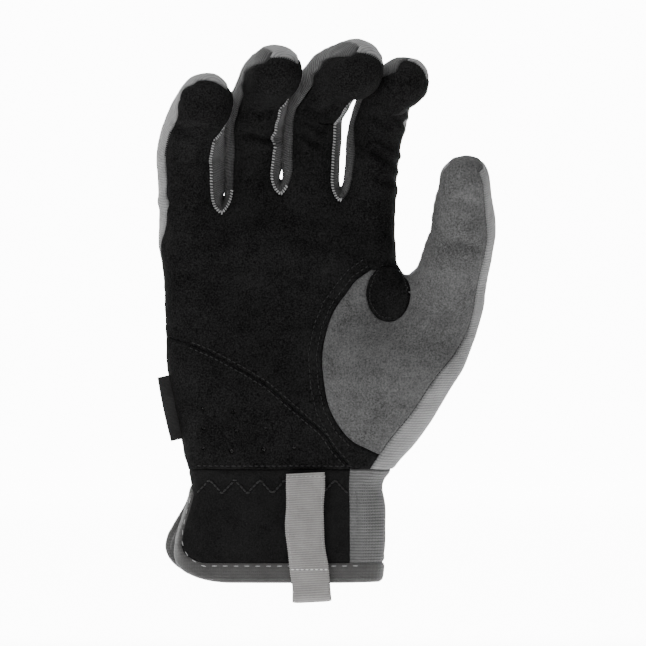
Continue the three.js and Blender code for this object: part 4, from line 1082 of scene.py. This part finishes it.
def sew_panel(name, chosen, wall, material, drop=0.8, lift=0.0, roll=edge_roll, pucker=0.55,
              gap=seam_gap):
    """A closed panel of cloth with its edge turned down, and puckers beside its seams."""
    polygons = [poly_corners[index] for index in chosen]
    rim = outline(polygons)
    used = np.unique(np.concatenate(polygons))
    place = {int(corner): k for k, corner in enumerate(used)}
    spot, normal = data["spot"][used], data["normal"][used]
    a = np.array([place[int(corner)] for corner in rim[:, 0]])
    b = np.array([place[int(corner)] for corner in rim[:, 1]])
    along = spot[b] - spot[a]
    along /= np.maximum(np.linalg.norm(along, axis=1), 1e-9)[:, None]
    inward = np.zeros_like(spot)
    for end in (a, b):
        np.add.at(inward, end, np.cross(normal[end], along))
    length = np.linalg.norm(inward, axis=1)
    on_rim = length > 1e-6
    inward[on_rim] /= length[on_rim][:, None]
    tree = KDTree(2 * len(a))
    for k, row in enumerate(np.concatenate([spot[a], (spot[a] + spot[b]) / 2])):
        tree.insert(row, k)
    tree.balance()
    away = np.array([tree.find(row)[2] for row in spot])
    share = clamp(away / roll)
    height = lift - drop * (1 - np.sqrt(clamp(1 - (1 - share) ** 2)))
    ripple = np.array([noise.noise(Vector(row * puckers["pitch"])) for row in spot])
    near_seam = np.exp(-away / puckers["reach"])
    height += pucker * ripple * near_seam * ease((away - puckers["start"]) / puckers["rise"])
    outer = spot + inward * gap / 2 + normal * height[:, None]
    inner = spot + inward * (gap / 2 + edge_bevel * wall) - normal * (wall - lift)
    count = len(used)
    sides = np.column_stack([b, a, a + count, b + count]).tolist()
    outside = [[place[corner] for corner in corners] for corners in polygons]
    inside = [[corner + count for corner in reversed(corners)] for corners in outside]
    up_run = data["up"][used]
    uv = []
    for order in (1, -1):
        for index, corners in zip(chosen, outside):
            places = list(zip(poly_round[index], corners))[::order]
            uv += [(around * mm, up_run[corner] * mm) for around, corner in places]
    for one, two in zip(a, b):
        uv += [(0, up_run[two] * mm), (0, up_run[one] * mm), (0, up_run[one] * mm), (0, up_run[two] * mm)]
    spots = np.vstack([outer, inner])
    mesh = make_piece(name + "_cloth", spots, outside + inside + sides, material, name)
    lay_weave(mesh, uv)
    panels[name] = {
        "start": a, "end": b, "spot": outer, "normal": normal, "inward": inward, "faces": outside,
    }


nap_height = 0.4 * mm


def cloth_material(name, base, spread, rough, grain, bump, rib=None, sheen=0.0, mottle=0.5, shine=0.1):
    """Short-napped or knitted cloth: grain in two sizes, ribs if it has them, and a bump."""
    material = bpy.data.materials.new(name)
    material.use_nodes = True
    nodes, links = material.node_tree.nodes, material.node_tree.links
    shader = nodes["Principled BSDF"]
    shader.inputs["Roughness"].default_value = rough
    shader.inputs["Specular IOR Level"].default_value = shine
    shader.inputs["Sheen Weight"].default_value = sheen
    shader.inputs["Sheen Roughness"].default_value = 0.6

    def math_node(operation, first, second=None, third=None):
        node = nodes.new("ShaderNodeMath")
        node.operation = operation
        for socket, value in zip(node.inputs, (first, second, third)):
            if value is None:
                continue
            if hasattr(value, "links"):
                links.new(value, socket)
            else:
                socket.default_value = value
        return node.outputs[0]

    def speckle(scale, detail):
        node = nodes.new("ShaderNodeTexNoise")
        node.inputs["Scale"].default_value = scale
        node.inputs["Detail"].default_value = detail
        node.inputs["Roughness"].default_value = 0.7
        links.new(where_on.outputs["Object"], node.inputs["Vector"])
        return node.outputs["Fac"]

    where_on = nodes.new("ShaderNodeTexCoord")
    fine = speckle(grain, 3.0)
    broad = speckle(grain * 0.05, 2.0)
    tone = math_node("ADD", math_node("MULTIPLY", fine, 1.0 - mottle), math_node("MULTIPLY", broad, mottle))
    relief = fine
    if rib:
        across, along = nodes.new("ShaderNodeSeparateXYZ"), nodes.new("ShaderNodeUVMap")
        along.uv_map = "cloth"
        links.new(along.outputs[0], across.inputs[0])

        def ribs(axis, pitch):
            turned_share = math_node("MULTIPLY", across.outputs[axis], 2 * math.pi / (pitch * mm))
            return math_node("SINE", turned_share)

        weave = math_node("MULTIPLY_ADD", ribs(0, rib["cross"]), 0.35, ribs(1, rib["pitch"]))
        tone = math_node("MULTIPLY_ADD", weave, rib["tone"], tone)
        relief = math_node("MULTIPLY_ADD", weave, rib["rise"], fine)
    ramp = nodes.new("ShaderNodeValToRGB")
    ramp.color_ramp.elements[0].position = 0.5 - spread
    ramp.color_ramp.elements[1].position = 0.5 + spread
    ramp.color_ramp.elements[0].color = (*base[0], 1)
    ramp.color_ramp.elements[1].color = (*base[1], 1)
    links.new(tone, ramp.inputs[0])
    links.new(ramp.outputs[0], shader.inputs["Base Color"])
    bumps = nodes.new("ShaderNodeBump")
    bumps.inputs["Strength"].default_value = bump
    bumps.inputs["Distance"].default_value = nap_height
    links.new(relief, bumps.inputs["Height"])
    links.new(bumps.outputs[0], shader.inputs["Normal"])
    return material


def grey(value, warmth=0.0):
    return (value * (1 + warmth), value, value * (1 - warmth))


black_suede = cloth_material(
    "black_suede", (grey(0.0005), grey(0.0095)), spread=0.12, rough=1.0, grain=1500, bump=0.5,
    mottle=0.2, shine=0.04,
)
palm_polys = palm_cut + finger_side_black + where(black)
sew_panel("palm_panel", palm_polys, suede_wall, black_suede)

# The heel panel: a second piece of the same suede at the heel of the hand, punched with small
# air holes. It meets the palm in a curved seam with a row of thread on each side.
hole_radius = 0.8
air_holes = [
    (-33.2, 73.1), (-20.4, 71.8), (-33.2, 64.7), (-19.0, 63.8), (-6.7, 64.3), (-33.2, 55.9), (-21.2, 55.0),
    (-7.6, 55.9), (5.3, 56.7),
]
hole_value = np.min([
    np.hypot(data["spot"][:, 0] - x, data["spot"][:, 2] - z) for x, z in air_holes
], axis=0)
heel_cut = cut(heel_cut, hole_value - hole_radius)[1]
sew_panel("palm_heel_panel", heel_cut, suede_wall, black_suede)

# The crotch patch: a round of the same suede let in between thumb and index finger, where a
# glove wears through first. It is sewn round its edge to the thumb's panel and to the palm.
sew_panel("thumb_crotch_patch", patch_cut, suede_wall, black_suede)

# The thumb panel: grey heathered suede over the ball and the front of the thumb. Two rows of
# thread hold it to the palm, and a plain seam to the knit along the thumb's outer side.
grey_suede = cloth_material(
    "grey_suede", (grey(0.018), grey(0.079)), spread=0.16, rough=0.95, grain=1300, bump=0.5, mottle=0.3,
    shine=0.08,
)
thumb_polys = thumb_cut + thumb_side_cut + where(thumb_front)
sew_panel("thumb_panel", thumb_polys, suede_wall, grey_suede)

# The back of the hand, fingers and thumb: one piece of grey stretch knit with fine ribs
# across. It is sewn to the suede all round and gives when the hand closes.
cloth_wall = 1.2
knit_rib = {"pitch": 1.05, "cross": 0.8, "tone": 0.12, "rise": 0.6}
back_knit = cloth_material(
    "back_knit", (grey(0.064), grey(0.164)), spread=0.3, rough=0.9, grain=2200, bump=0.5, rib=knit_rib,
    sheen=0.12,
)
sew_panel("back_panel", where(is_back) + side_grey, cloth_wall, back_knit)

# The gussets between the fingers: strips of the same knit that run up one finger, round the
# crotch and up the next. Their colour is painted shade: darker than the knit's own, for the
# shadow between the fingers. Their edges are overlocked to the palm.
gusset_knit = cloth_material(
    "gusset_knit", (grey(0.01), grey(0.034)), spread=0.3, rough=0.9, grain=2200, bump=0.5, rib=knit_rib,
    sheen=0.12,
)
for name, mask in gusset_of.items():
    sew_panel(name, where(mask), cloth_wall, gusset_knit)

# The cuff: black stretch cloth on the palm's side and grey elastic knit on the back, joined
# at the thumb's side and open in a vent at the other. Their lower edges go into the binding.
binding_width = 8.0


def edge_value():
    """How far in from the cuff's edge a point lies, with the vent's lower corners rounded."""
    z = data["spot"][:, 2]
    from_vent = data["vent"] + np.maximum(z - vent_height, 0) * 2
    straight = np.minimum(from_vent, z)
    along = 1 - from_vent / vent_corner["along"]
    up = 1 - z / np.maximum(data["corner"], 1)
    turn = np.maximum(np.hypot(along, up), 0.01)
    reach = np.hypot(along * vent_corner["along"], up * data["corner"]) / turn
    rounded = np.minimum(straight, (1 - turn) * reach)
    return np.where((along < 0) | (up < 0), straight, rounded)


cuff_inside = cut(where(is_cuff), edge_value())[1]
binding_cut, cuff_cut = cut(cuff_inside, edge_value() - binding_width)
on_palm_cuff = set(where(zone_of == "cuff_palm_panel"))
palm_side_points = set(faces[zone_of == "cuff_palm_panel"].ravel().tolist())
back_side_points = set(faces[zone_of == "cuff_back_panel"].ravel().tolist()) - palm_side_points


def is_palm_cuff(index):
    if index < len(faces):
        return index in on_palm_cuff
    return not any(corner in back_side_points for corner in poly_corners[index])


cuff_knit = cloth_material(
    "cuff_knit", (grey(0.0008), grey(0.009)), spread=0.18, rough=1.0, grain=1800, bump=0.5, mottle=0.2,
    shine=0.06,
)
elastic_rib = {"pitch": 1.25, "cross": 0.9, "tone": 0.14, "rise": 0.8}
elastic_knit = cloth_material(
    "elastic_knit", (grey(0.036), grey(0.106)), spread=0.3, rough=0.9, grain=2200, bump=0.5,
    rib=elastic_rib, sheen=0.08,
)
palm_side = [index for index in cuff_cut if is_palm_cuff(index)]
back_side = [index for index in cuff_cut if not is_palm_cuff(index)]
sew_panel("cuff_palm_panel", palm_side, cloth_wall, cuff_knit)
sew_panel("cuff_back_panel", back_side, cloth_wall, elastic_knit)

# The binding: grey knit tape folded over the cuff's edge, along the hem and up both sides of
# the vent, and sewn through with one row of long stitches.
binding_wall = 2.6
binding_lift = 0.5
tape_rib = {"pitch": 1.3, "cross": 1.1, "tone": 0.05, "rise": 0.3}
binding_tape = cloth_material(
    "binding_tape", (grey(0.016, 0.02), grey(0.042, 0.02)), spread=0.3, rough=0.9, grain=1800, bump=0.5,
    rib=tape_rib, sheen=0.2,
)
sew_panel("cuff_binding", binding_cut, binding_wall, binding_tape, drop=1.3,
          lift=binding_lift, roll=2.0, pucker=0.25, gap=-0.5)

# The thread: most seams are topstitched or overlocked, and each stitch is a small bead of
# thread laid on the cloth. Rows follow a panel's edge, or a line seen from the palm in x and z.
surface_spots, surface_faces = [], []
for panel in panels.values():
    low = len(surface_spots)
    surface_spots += panel["spot"].tolist()
    surface_faces += [[corner + low for corner in corners] for corners in panel["faces"]]
whole_surface = BVHTree.FromPolygons(surface_spots, surface_faces)


beside_reach = 0.9
shortest_run = 6


def edge_runs(name, beside):
    """The runs of a panel's edge that lie along another panel, each in order."""
    panel, other = panels[name], panels[beside]
    tree = KDTree(len(other["start"]))
    for k, corner in enumerate(other["start"]):
        tree.insert(other["spot"][corner], k)
    tree.balance()
    following = {}
    for one, two in zip(panel["start"], panel["end"]):
        if tree.find((panel["spot"][one] + panel["spot"][two]) / 2)[2] < beside_reach:
            following[int(one)] = int(two)
    starts = [one for one in following if one not in set(following.values())] or list(following)[:1]
    runs = []
    for start in starts:
        run = [start]
        while run[-1] in following and len(run) <= len(following):
            run.append(following.pop(run[-1]))
        if len(run) > shortest_run:
            runs.append(run)
    return runs


def even_steps(spots, pitch, extra=()):
    """Points spaced evenly along a run, with the rows of values that go with them."""
    run = np.concatenate([[0], np.cumsum(np.linalg.norm(np.diff(spots, axis=0), axis=1))])
    count = max(int(run[-1] / pitch), 1)
    steps = np.arange(0.5, count) * run[-1] / count
    return [
        np.column_stack([np.interp(steps, run, rows[:, k]) for k in range(3)]) for rows in (spots, *extra)
    ]


def edge_row(name, beside, inset, pitch, keep=None):
    """Stitch places along a panel's edge: (middle, along, out of the cloth)."""
    rows = []
    for run in edge_runs(name, beside):
        panel = panels[name]
        beside_run = panel["inward"][run], panel["normal"][run]
        spots, inward, normal = even_steps(panel["spot"][run], pitch, beside_run)
        for turn in range(4):
            inward[1:-1] = (inward[:-2] + 2 * inward[1:-1] + inward[2:]) / 4
        places = spots + inward * inset
        for k in range(len(places)):
            before, after = places[max(k - 1, 0)], places[min(k + 1, len(places) - 1)]
            hit = whole_surface.find_nearest(places[k])
            if hit[0] is None or (keep and not keep(*hit[0])):
                continue
            out = np.array(hit[1])
            rows.append((np.array(hit[0]), after - before, out if out.dot(normal[k]) > 0 else -out))
    return rows


def view_row(line, pitch, facing=-1):
    """Stitch places along a line in x and z on the palm's side (-1) or the back (1)."""
    flat = np.array([(x, 0, z) for x, z in line], float)
    places = []
    for x, z in even_steps(flat, pitch)[0][:, ::2]:
        hit = whole_surface.ray_cast(Vector((x, facing * 200, z)), Vector((0, -facing, 0)))
        if hit[0] is not None:
            out = np.array(hit[1])
            places.append((np.array(hit[0]), out if out[1] * facing > 0 else -out))
    rows = []
    for k, (spot, out) in enumerate(places):
        before, after = places[max(k - 1, 0)][0], places[min(k + 1, len(places) - 1)][0]
        rows.append((spot, after - before, out))
    return rows


def offset_line(line, distance):
    """A line beside another, to its left if the distance is more than 0."""
    line = np.array(line, float)
    along = np.gradient(line, axis=0)
    along /= np.linalg.norm(along, axis=1)[:, None]
    return (line + np.column_stack([-along[:, 1], along[:, 0]]) * distance).tolist()


bead_stations = ((-0.5, 0.0), (-0.36, 0.75), (0.0, 1.0), (0.36, 0.75), (0.5, 0.0))
bead_sides = 6


def sew(name, rows, material, length, width, turn=0.0, sink=0.25):
    """One piece of thread: a bead for each stitch, turned away from its row by an angle."""
    spots, polygons = [], []
    for middle, along, out in rows:
        out = out / np.linalg.norm(out)
        along = along - out * along.dot(out)
        along /= max(np.linalg.norm(along), 1e-9)
        along = turned(along, out, turn)
        across = np.cross(out, along)
        middle = middle + out * width * (0.5 - sink)
        first = len(spots)
        for station, thick in bead_stations:
            if thick == 0:
                spots.append(middle + along * station * length)
                continue
            for k in range(bead_sides):
                angle = 2 * math.pi * k / bead_sides
                ring = across * math.cos(angle) + out * math.sin(angle)
                spots.append(middle + along * station * length + ring * thick * width / 2)
        last = first + 1 + 3 * bead_sides
        for k in range(bead_sides):
            after = (k + 1) % bead_sides
            polygons.append((first, first + 1 + after, first + 1 + k))
            for ring in range(2):
                low, high = first + 1 + ring * bead_sides, first + 1 + (ring + 1) * bead_sides
                polygons.append((low + k, low + after, high + after, high + k))
            polygons.append((last, last - bead_sides + k, last - bead_sides + after))
    make_piece(name, spots, polygons, material)


def thread_material(name, low, high):
    """Spun thread: two tones in a fine twist."""
    return cloth_material(name, (low, high), spread=0.3, rough=0.7, grain=2600, bump=0.4, shine=0.2)


black_thread = thread_material("black_thread", grey(0.002), grey(0.012))
grey_thread = thread_material("grey_thread", grey(0.12), grey(0.3))
light_thread = thread_material("light_thread", grey(0.32), grey(0.66))

thumb_line = [(x * knuckle_width, cuff_height + palm_height * up)
              for up, x in zip(thumb_edge["up"], thumb_edge["across"])][::-1]
heel_line = [(x * knuckle_width, cuff_height + palm_height * up)
             for x, up in zip(heel_edge["across"], heel_edge["up"]) if -0.46 < x < 0.3]
stitch_pitch = 2.3
thumb_rows = {"beside": (2.1, 5.4), "from": 55, "to": 137}
heel_rows = (-1.3, 1.3)
palm_rows = []
for distance in thumb_rows["beside"]:
    line = offset_line(thumb_line, -distance)
    row = [spot for spot in line if thumb_rows["from"] < spot[1] < thumb_rows["to"]]
    palm_rows += view_row(row, stitch_pitch)
for distance in heel_rows:
    palm_rows += view_row(offset_line(heel_line, distance), stitch_pitch)
wrist_line = [(x, cuff_height + 1.6) for x in np.linspace(-36, 29, 14)]
palm_rows += view_row(wrist_line, 2.4)
sew("palm_stitching", palm_rows, black_thread, length=1.7, width=0.5)
zigzag_heights = (37.4, 43.0)
zigzag = [(x, zigzag_heights[k % 2]) for k, x in enumerate(np.arange(-35.5, 30, 5.25))]
sew("wrist_zigzag", view_row(zigzag, 2.0), black_thread, length=2.0, width=0.85, sink=0.15)
for name in gusset_of:
    rows = edge_row(name, "palm_panel", inset=0.45, pitch=1.25)
    sew(
        name + "_overlock", rows, grey_thread, length=2.1, width=0.8,
        turn=math.radians(75), sink=0.1,
    )
rows = edge_row("back_panel", "palm_panel", inset=0.3, pitch=0.95, keep=lambda x, y, z: z > knuckle_z + 20)
sew("fingertip_overlock", rows, black_thread, length=1.2, width=0.5, turn=math.radians(70))
rows = edge_row("thumb_panel", "back_panel", inset=0.2, pitch=1.5)
sew("thumb_seam_stitching", rows, black_thread, length=1.1, width=0.4)
rows = edge_row("thumb_crotch_patch", "thumb_panel", inset=1.5, pitch=1.8)
sew("crotch_patch_stitching", rows, black_thread, length=1.3, width=0.42)
binding_pitch = 4.45
hem_rise = 6.9
vent_row = [
    (-33.2, 6.9), (-36.1, 8.2), (-39.1, 10.5), (-41.2, 13.9), (-42.0, 17.6), (-41.6, 22.7), (-39.9, 30.2),
    (-38.2, 36.1),
]
rows = view_row([(33.0, hem_rise)] + vent_row, binding_pitch)
rows += view_row([(x, hem_rise) for x in (38.0, 0.0, -36.0)], binding_pitch, facing=1)
sew("binding_stitching", rows, grey_thread, length=2.3, width=0.42, sink=0.1)

# The pull loop: pale ribbed webbing, sewn to the cuff at its top and on the binding; it hangs
# below the hem in a loop and goes back up inside.
webbing_width = 16.0
webbing_wall = 1.5
loop_drop = 8.4
loop_reach = 46.0
loop_depth = 8.5
loop_tuck = 12.0
loop_clear = 0.8
loop_x = 0.12 * knuckle_width
loop_tilt = math.radians(2.8)
rib_pitch = 0.95
rib_rise = {"out": 0.07, "wide": 0.22}
webbing_waver = {"wide": 0.3, "turn": 0.35}
edge_thinning = 0.6
lean = {"side": -1.6, "height": 22, "reach": 15}
loop_left = loop_x - webbing_width / 2


def cuff_front_y(z):
    section = hand_section(z, False)
    return hand_point(loop_left, -bow((loop_left - section["middle"]) / section["half"]), z, False)[1]


leg_gap = loop_depth - 2 * webbing_wall
loop_line = []
for z in np.linspace(loop_reach, 0, 13):
    loop_line.append((cuff_front_y(z) - binding_lift - loop_clear - webbing_wall / 2, z))
loop_radius = (leg_gap + webbing_wall) / 2
turn_y, turn_z = loop_line[-1][0] + loop_radius, -loop_drop + loop_depth / 2
for k in range(13):
    angle = math.pi * (1 + k / 12)
    loop_line.append((turn_y + loop_radius * math.cos(angle), turn_z + loop_radius * math.sin(angle)))
loop_line.append((turn_y + loop_radius, loop_tuck / 3))
loop_line.append((cuff_front_y(loop_tuck) + binding_wall + loop_clear + webbing_wall / 2, loop_tuck))
flat = np.array([(0, y, z) for y, z in loop_line])
run = np.concatenate([[0], np.cumsum(np.linalg.norm(np.diff(flat, axis=0), axis=1))])
steps = np.arange(0, run[-1], rib_pitch / 5)
middle = np.column_stack([np.interp(steps, run, flat[:, k]) for k in (1, 2)])
for turn in range(12):
    middle[1:-1] = (middle[:-2] + 2 * middle[1:-1] + middle[2:]) / 4
along = np.gradient(middle, axis=0)
along /= np.linalg.norm(along, axis=1)[:, None]
across_steps = 18


def loop_bulge(z):
    """How far the hanging webbing leans to the little finger's side."""
    return lean["side"] * math.exp(-((z - lean["height"]) / lean["reach"]) ** 2)


webbing_spots = []
webbing_uv = []
ring_size = 2 * (across_steps + 1)
for k, (spot, ahead) in enumerate(zip(middle, along)):
    rib = math.sin(2 * math.pi * steps[k] / rib_pitch)
    waver = webbing_waver["wide"] * math.sin(steps[k] * webbing_waver["turn"])
    wide = webbing_width + rib_rise["wide"] * rib + waver
    bulge = loop_bulge(spot[1]) if k < len(steps) * 0.6 else 0.0
    normal_y, normal_z = ahead[1], -ahead[0]
    for face in (1, -1):
        for i in range(across_steps + 1):
            t = i / across_steps if face > 0 else 1 - i / across_steps
            edge = 1 - abs(2 * t - 1) ** 8 * edge_thinning
            off = face * (webbing_wall / 2 * edge + rib_rise["out"] * rib)
            x = (t - 0.5) * wide + bulge
            y, z = spot[0] + normal_y * off, spot[1] + normal_z * off
            webbing_spots.append((
                loop_x + x * math.cos(loop_tilt) - z * math.sin(loop_tilt), y,
                x * math.sin(loop_tilt) + z * math.cos(loop_tilt),
            ))
            webbing_uv.append((t * webbing_width * mm, steps[k] * mm))
webbing_faces = []
for k in range(len(steps) - 1):
    for i in range(ring_size):
        j = (i + 1) % ring_size
        low, high = k * ring_size, (k + 1) * ring_size
        webbing_faces.append((low + i, low + j, high + j, high + i))
webbing_faces.append(tuple(range(ring_size))[::-1])
webbing_faces.append(tuple((len(steps) - 1) * ring_size + i for i in range(ring_size)))
webbing_rib = {"pitch": rib_pitch, "cross": 0.55, "tone": 0.2, "rise": 1.2}
webbing = cloth_material(
    "webbing", (grey(0.075, 0.03), grey(0.205, 0.03)), spread=0.35, rough=0.7, grain=2200, bump=0.5,
    rib=webbing_rib, shine=0.3, sheen=0.1,
)
loop_mesh = make_piece("pull_loop_webbing", webbing_spots, webbing_faces, webbing, "pull_loop")
lay_weave(loop_mesh, [webbing_uv[corner] for face in webbing_faces for corner in face])
loop_surface = BVHTree.FromPolygons(webbing_spots, webbing_faces)


def loop_row(places, along):
    """Stitches on the webbing's face at places seen from the palm, in x and z."""
    rows = []
    for x, z in places:
        hit = loop_surface.ray_cast(Vector((x, -200, z)), Vector((0, 1, 0)))
        if hit[0] is not None:
            rows.append((np.array(hit[0]), np.array(along, float), np.array([0, -1.0, 0])))
    return rows


hem_places = [(x, 5.6) for x in np.arange(4.5, 19.5, 2.0)]
top_places = [(x, 44.6) for x in np.arange(2.5, 18.5, 1.9)]
edge_places = []
for side in (-6.9, 6.9):
    for z in np.arange(9.0, 43.5, 1.9):
        edge_places.append((loop_x + side + loop_bulge(z) - z * math.sin(loop_tilt), z))
sew("pull_loop_stitching", loop_row(hem_places, (1, 0, 0)), light_thread, length=1.3, width=0.45)
sew(
    "pull_loop_edge_stitching", loop_row(edge_places, (0, 0, 1)), grey_thread, length=1.2,
    width=0.35,
)
sew(
    "pull_loop_top_stitching", loop_row(top_places, (1, 0, 0)), grey_thread, length=1.0,
    width=0.4,
)

# The side label: a bare black woven tab, folded in two, with its two ends caught in the side
# seam below the little finger. It stands out from the glove and curls a little.
label_place = {"up": 0.235, "round": 1.3, "turn": math.radians(26), "clear": 0.7}
label_width = 4.8
label_height = 27.5
label_wall = 1.2
label_tuck = 1.6
label_nose = {"long": 0.8, "thick": 0.55}
label_bend = {"swing": 0.5, "turn": 3.0, "lean": -0.2}
label_z = cuff_height + label_place["up"] * palm_height
seam_top = hand_side_point(-1, label_place["round"], label_z + label_height / 2, False)
seam_low = hand_side_point(-1, label_place["round"], label_z - label_height / 2, False)
label_up = (seam_top - seam_low) / np.linalg.norm(seam_top - seam_low)
label_out = np.array([-math.cos(label_place["turn"]), -math.sin(label_place["turn"]), 0])
label_out -= label_up * label_out.dot(label_up)
label_out /= np.linalg.norm(label_out)
label_face = np.cross(label_out, label_up)
label_middle = (seam_top + seam_low) / 2 + label_out * label_place["clear"]
profile = []
nose_start = label_width - label_nose["long"]
for x in np.linspace(-label_tuck, nose_start, 12):
    profile.append((x, label_wall / 2 * (0.45 + 0.55 * math.sin(math.pi * clamp((x + 2.4) / 8)))))
for k in range(1, 8):
    angle = math.pi / 2 - math.pi * k / 8
    x = nose_start + label_nose["long"] * math.cos(angle)
    profile.append((x, label_nose["thick"] * math.sin(angle)))
profile += [(x, -thick) for x, thick in profile[:12][::-1]]
label_rows = 56
label_spots = []
label_uv = []
for row in range(label_rows + 1):
    up = (row / label_rows - 0.5) * label_height
    bend = label_bend["swing"] * math.sin(label_bend["turn"] * row / label_rows) + label_bend["lean"]
    for x, thick in profile:
        curl = bend * (max(x, 0) / label_width) ** 2 * 2
        spot = label_middle + label_out * x + label_up * up + label_face * (thick + curl)
        label_spots.append(spot)
        label_uv.append((x * mm, up * mm))
label_faces = []
for row in range(label_rows):
    for i in range(len(profile)):
        j = (i + 1) % len(profile)
        low, high = row * len(profile), (row + 1) * len(profile)
        label_faces.append((low + i, high + i, high + j, low + j))
label_faces.append(tuple(range(len(profile))))
label_faces.append(tuple(label_rows * len(profile) + i for i in range(len(profile)))[::-1])
label_rib = {"pitch": 0.6, "cross": 0.45, "tone": 0.15, "rise": 0.8}
label_tape = cloth_material(
    "label_tape", (grey(0.004), grey(0.02)), spread=0.3, rough=0.8, grain=2600, bump=0.4, rib=label_rib,
    shine=0.15,
)
label_mesh = make_piece("side_label_tab", label_spots, label_faces, label_tape, "side_label")
lay_weave(label_mesh, [label_uv[corner] for face in label_faces for corner in face])

# The room: a pale floor that sweeps up behind, soft light from above and the sides, and a
# long lens at the height of the palm, looking straight at it.
pixel = 0.42 * mm
look_at = (17.2 * mm, -15 * mm, 108.8 * mm)
camera_distance = 2.4
camera_data = bpy.data.cameras.new("camera")
camera_data.sensor_width = 36
camera_data.lens = 36 * camera_distance / (646 * pixel)
camera_data.clip_end = 50
camera = bpy.data.objects.new("camera", camera_data)
camera.location = (look_at[0], look_at[1] - camera_distance, look_at[2])
camera.rotation_euler = (math.pi / 2, 0, 0)
bpy.context.collection.objects.link(camera)
bpy.context.scene.camera = camera

floor_level = -0.06
floor_half = 7.0
floor_front = -6.0
sweep_start = 3.2
sweep_radius = 1.2
wall_top = 6.0
sweep = [(floor_front, 0.0), (sweep_start, 0.0)]
for k in range(1, 13):
    angle = math.pi / 2 * k / 12
    y = sweep_start + sweep_radius * math.sin(angle)
    sweep.append((y, sweep_radius - sweep_radius * math.cos(angle)))
sweep.append((sweep_start + sweep_radius, wall_top))
floor_mesh = bpy.data.meshes.new("floor")
floor_points = [(x, y, floor_level + z) for x in (-floor_half, floor_half) for y, z in sweep]
floor_faces = [(k, k + 1, len(sweep) + k + 1, len(sweep) + k) for k in range(len(sweep) - 1)]
floor_mesh.from_pydata(floor_points, [], floor_faces)
floor_mesh.polygons.foreach_set("use_smooth", np.ones(len(floor_faces), bool))
floor = bpy.data.objects.new("floor", floor_mesh)
bpy.context.collection.objects.link(floor)

# The paper is lit from within, softly all over and strongly where it lies behind the glove.
soft_glow = 1.5
strong_glow = 9.0
glow_limits = (("X", -1.2, -0.5), ("X", 1.2, 0.5), ("Y", 0.2, 0.7), ("Z", 1.6, 0.9))
paper = bpy.data.materials.new("pale_paper")
paper.use_nodes = True
paper_nodes, paper_links = paper.node_tree.nodes, paper.node_tree.links
paper_inputs = paper_nodes["Principled BSDF"].inputs
paper_inputs["Base Color"].default_value = (0.97, 0.97, 0.97, 1)
paper_inputs["Roughness"].default_value = 0.9
paper_inputs["Emission Color"].default_value = (1, 1, 1, 1)
paper_spot, paper_axes = paper_nodes.new("ShaderNodeTexCoord"), paper_nodes.new("ShaderNodeSeparateXYZ")
paper_links.new(paper_spot.outputs["Object"], paper_axes.inputs[0])
glow = paper_nodes.new("ShaderNodeMath")
glow.operation = "MULTIPLY_ADD"
glow.inputs[1].default_value = strong_glow
glow.inputs[2].default_value = soft_glow
paper_links.new(glow.outputs[0], paper_inputs["Emission Strength"])
joined = None
for axis, dark, bright in glow_limits:
    share = paper_nodes.new("ShaderNodeMapRange")
    share.interpolation_type = "SMOOTHSTEP"
    share.inputs["From Min"].default_value = dark
    share.inputs["From Max"].default_value = bright
    paper_links.new(paper_axes.outputs[axis], share.inputs["Value"])
    socket = share.outputs[0]
    if joined:
        both = paper_nodes.new("ShaderNodeMath")
        both.operation = "MULTIPLY"
        paper_links.new(joined, both.inputs[0])
        paper_links.new(socket, both.inputs[1])
        socket = both.outputs[0]
    joined = socket
paper_links.new(joined, glow.inputs[0])
floor_mesh.materials.append(paper)

world = bpy.data.worlds.new("studio")
world.use_nodes = True
world.node_tree.nodes["Background"].inputs["Color"].default_value = (1, 1, 1, 1)
world.node_tree.nodes["Background"].inputs["Strength"].default_value = 0.3
bpy.context.scene.world = world
lamps = [
    # name, place, size, watts
    ("key", (-0.8, -0.9, 1.5), 0.5, 26.0),
    ("fill", (1.3, -1.0, 0.5), 1.2, 1.5),
    ("top", (-0.3, 0.1, 1.9), 0.9, 44.0),
]
for name, spot, size, power in lamps:
    lamp_data = bpy.data.lights.new(name, "AREA")
    lamp_data.shape = "SQUARE"
    lamp_data.size = size
    lamp_data.energy = power
    lamp = bpy.data.objects.new(name, lamp_data)
    lamp.location = spot
    aim = Vector(look_at) - Vector(spot)
    lamp.rotation_euler = aim.to_track_quat("-Z", "Y").to_euler()
    bpy.context.collection.objects.link(lamp)
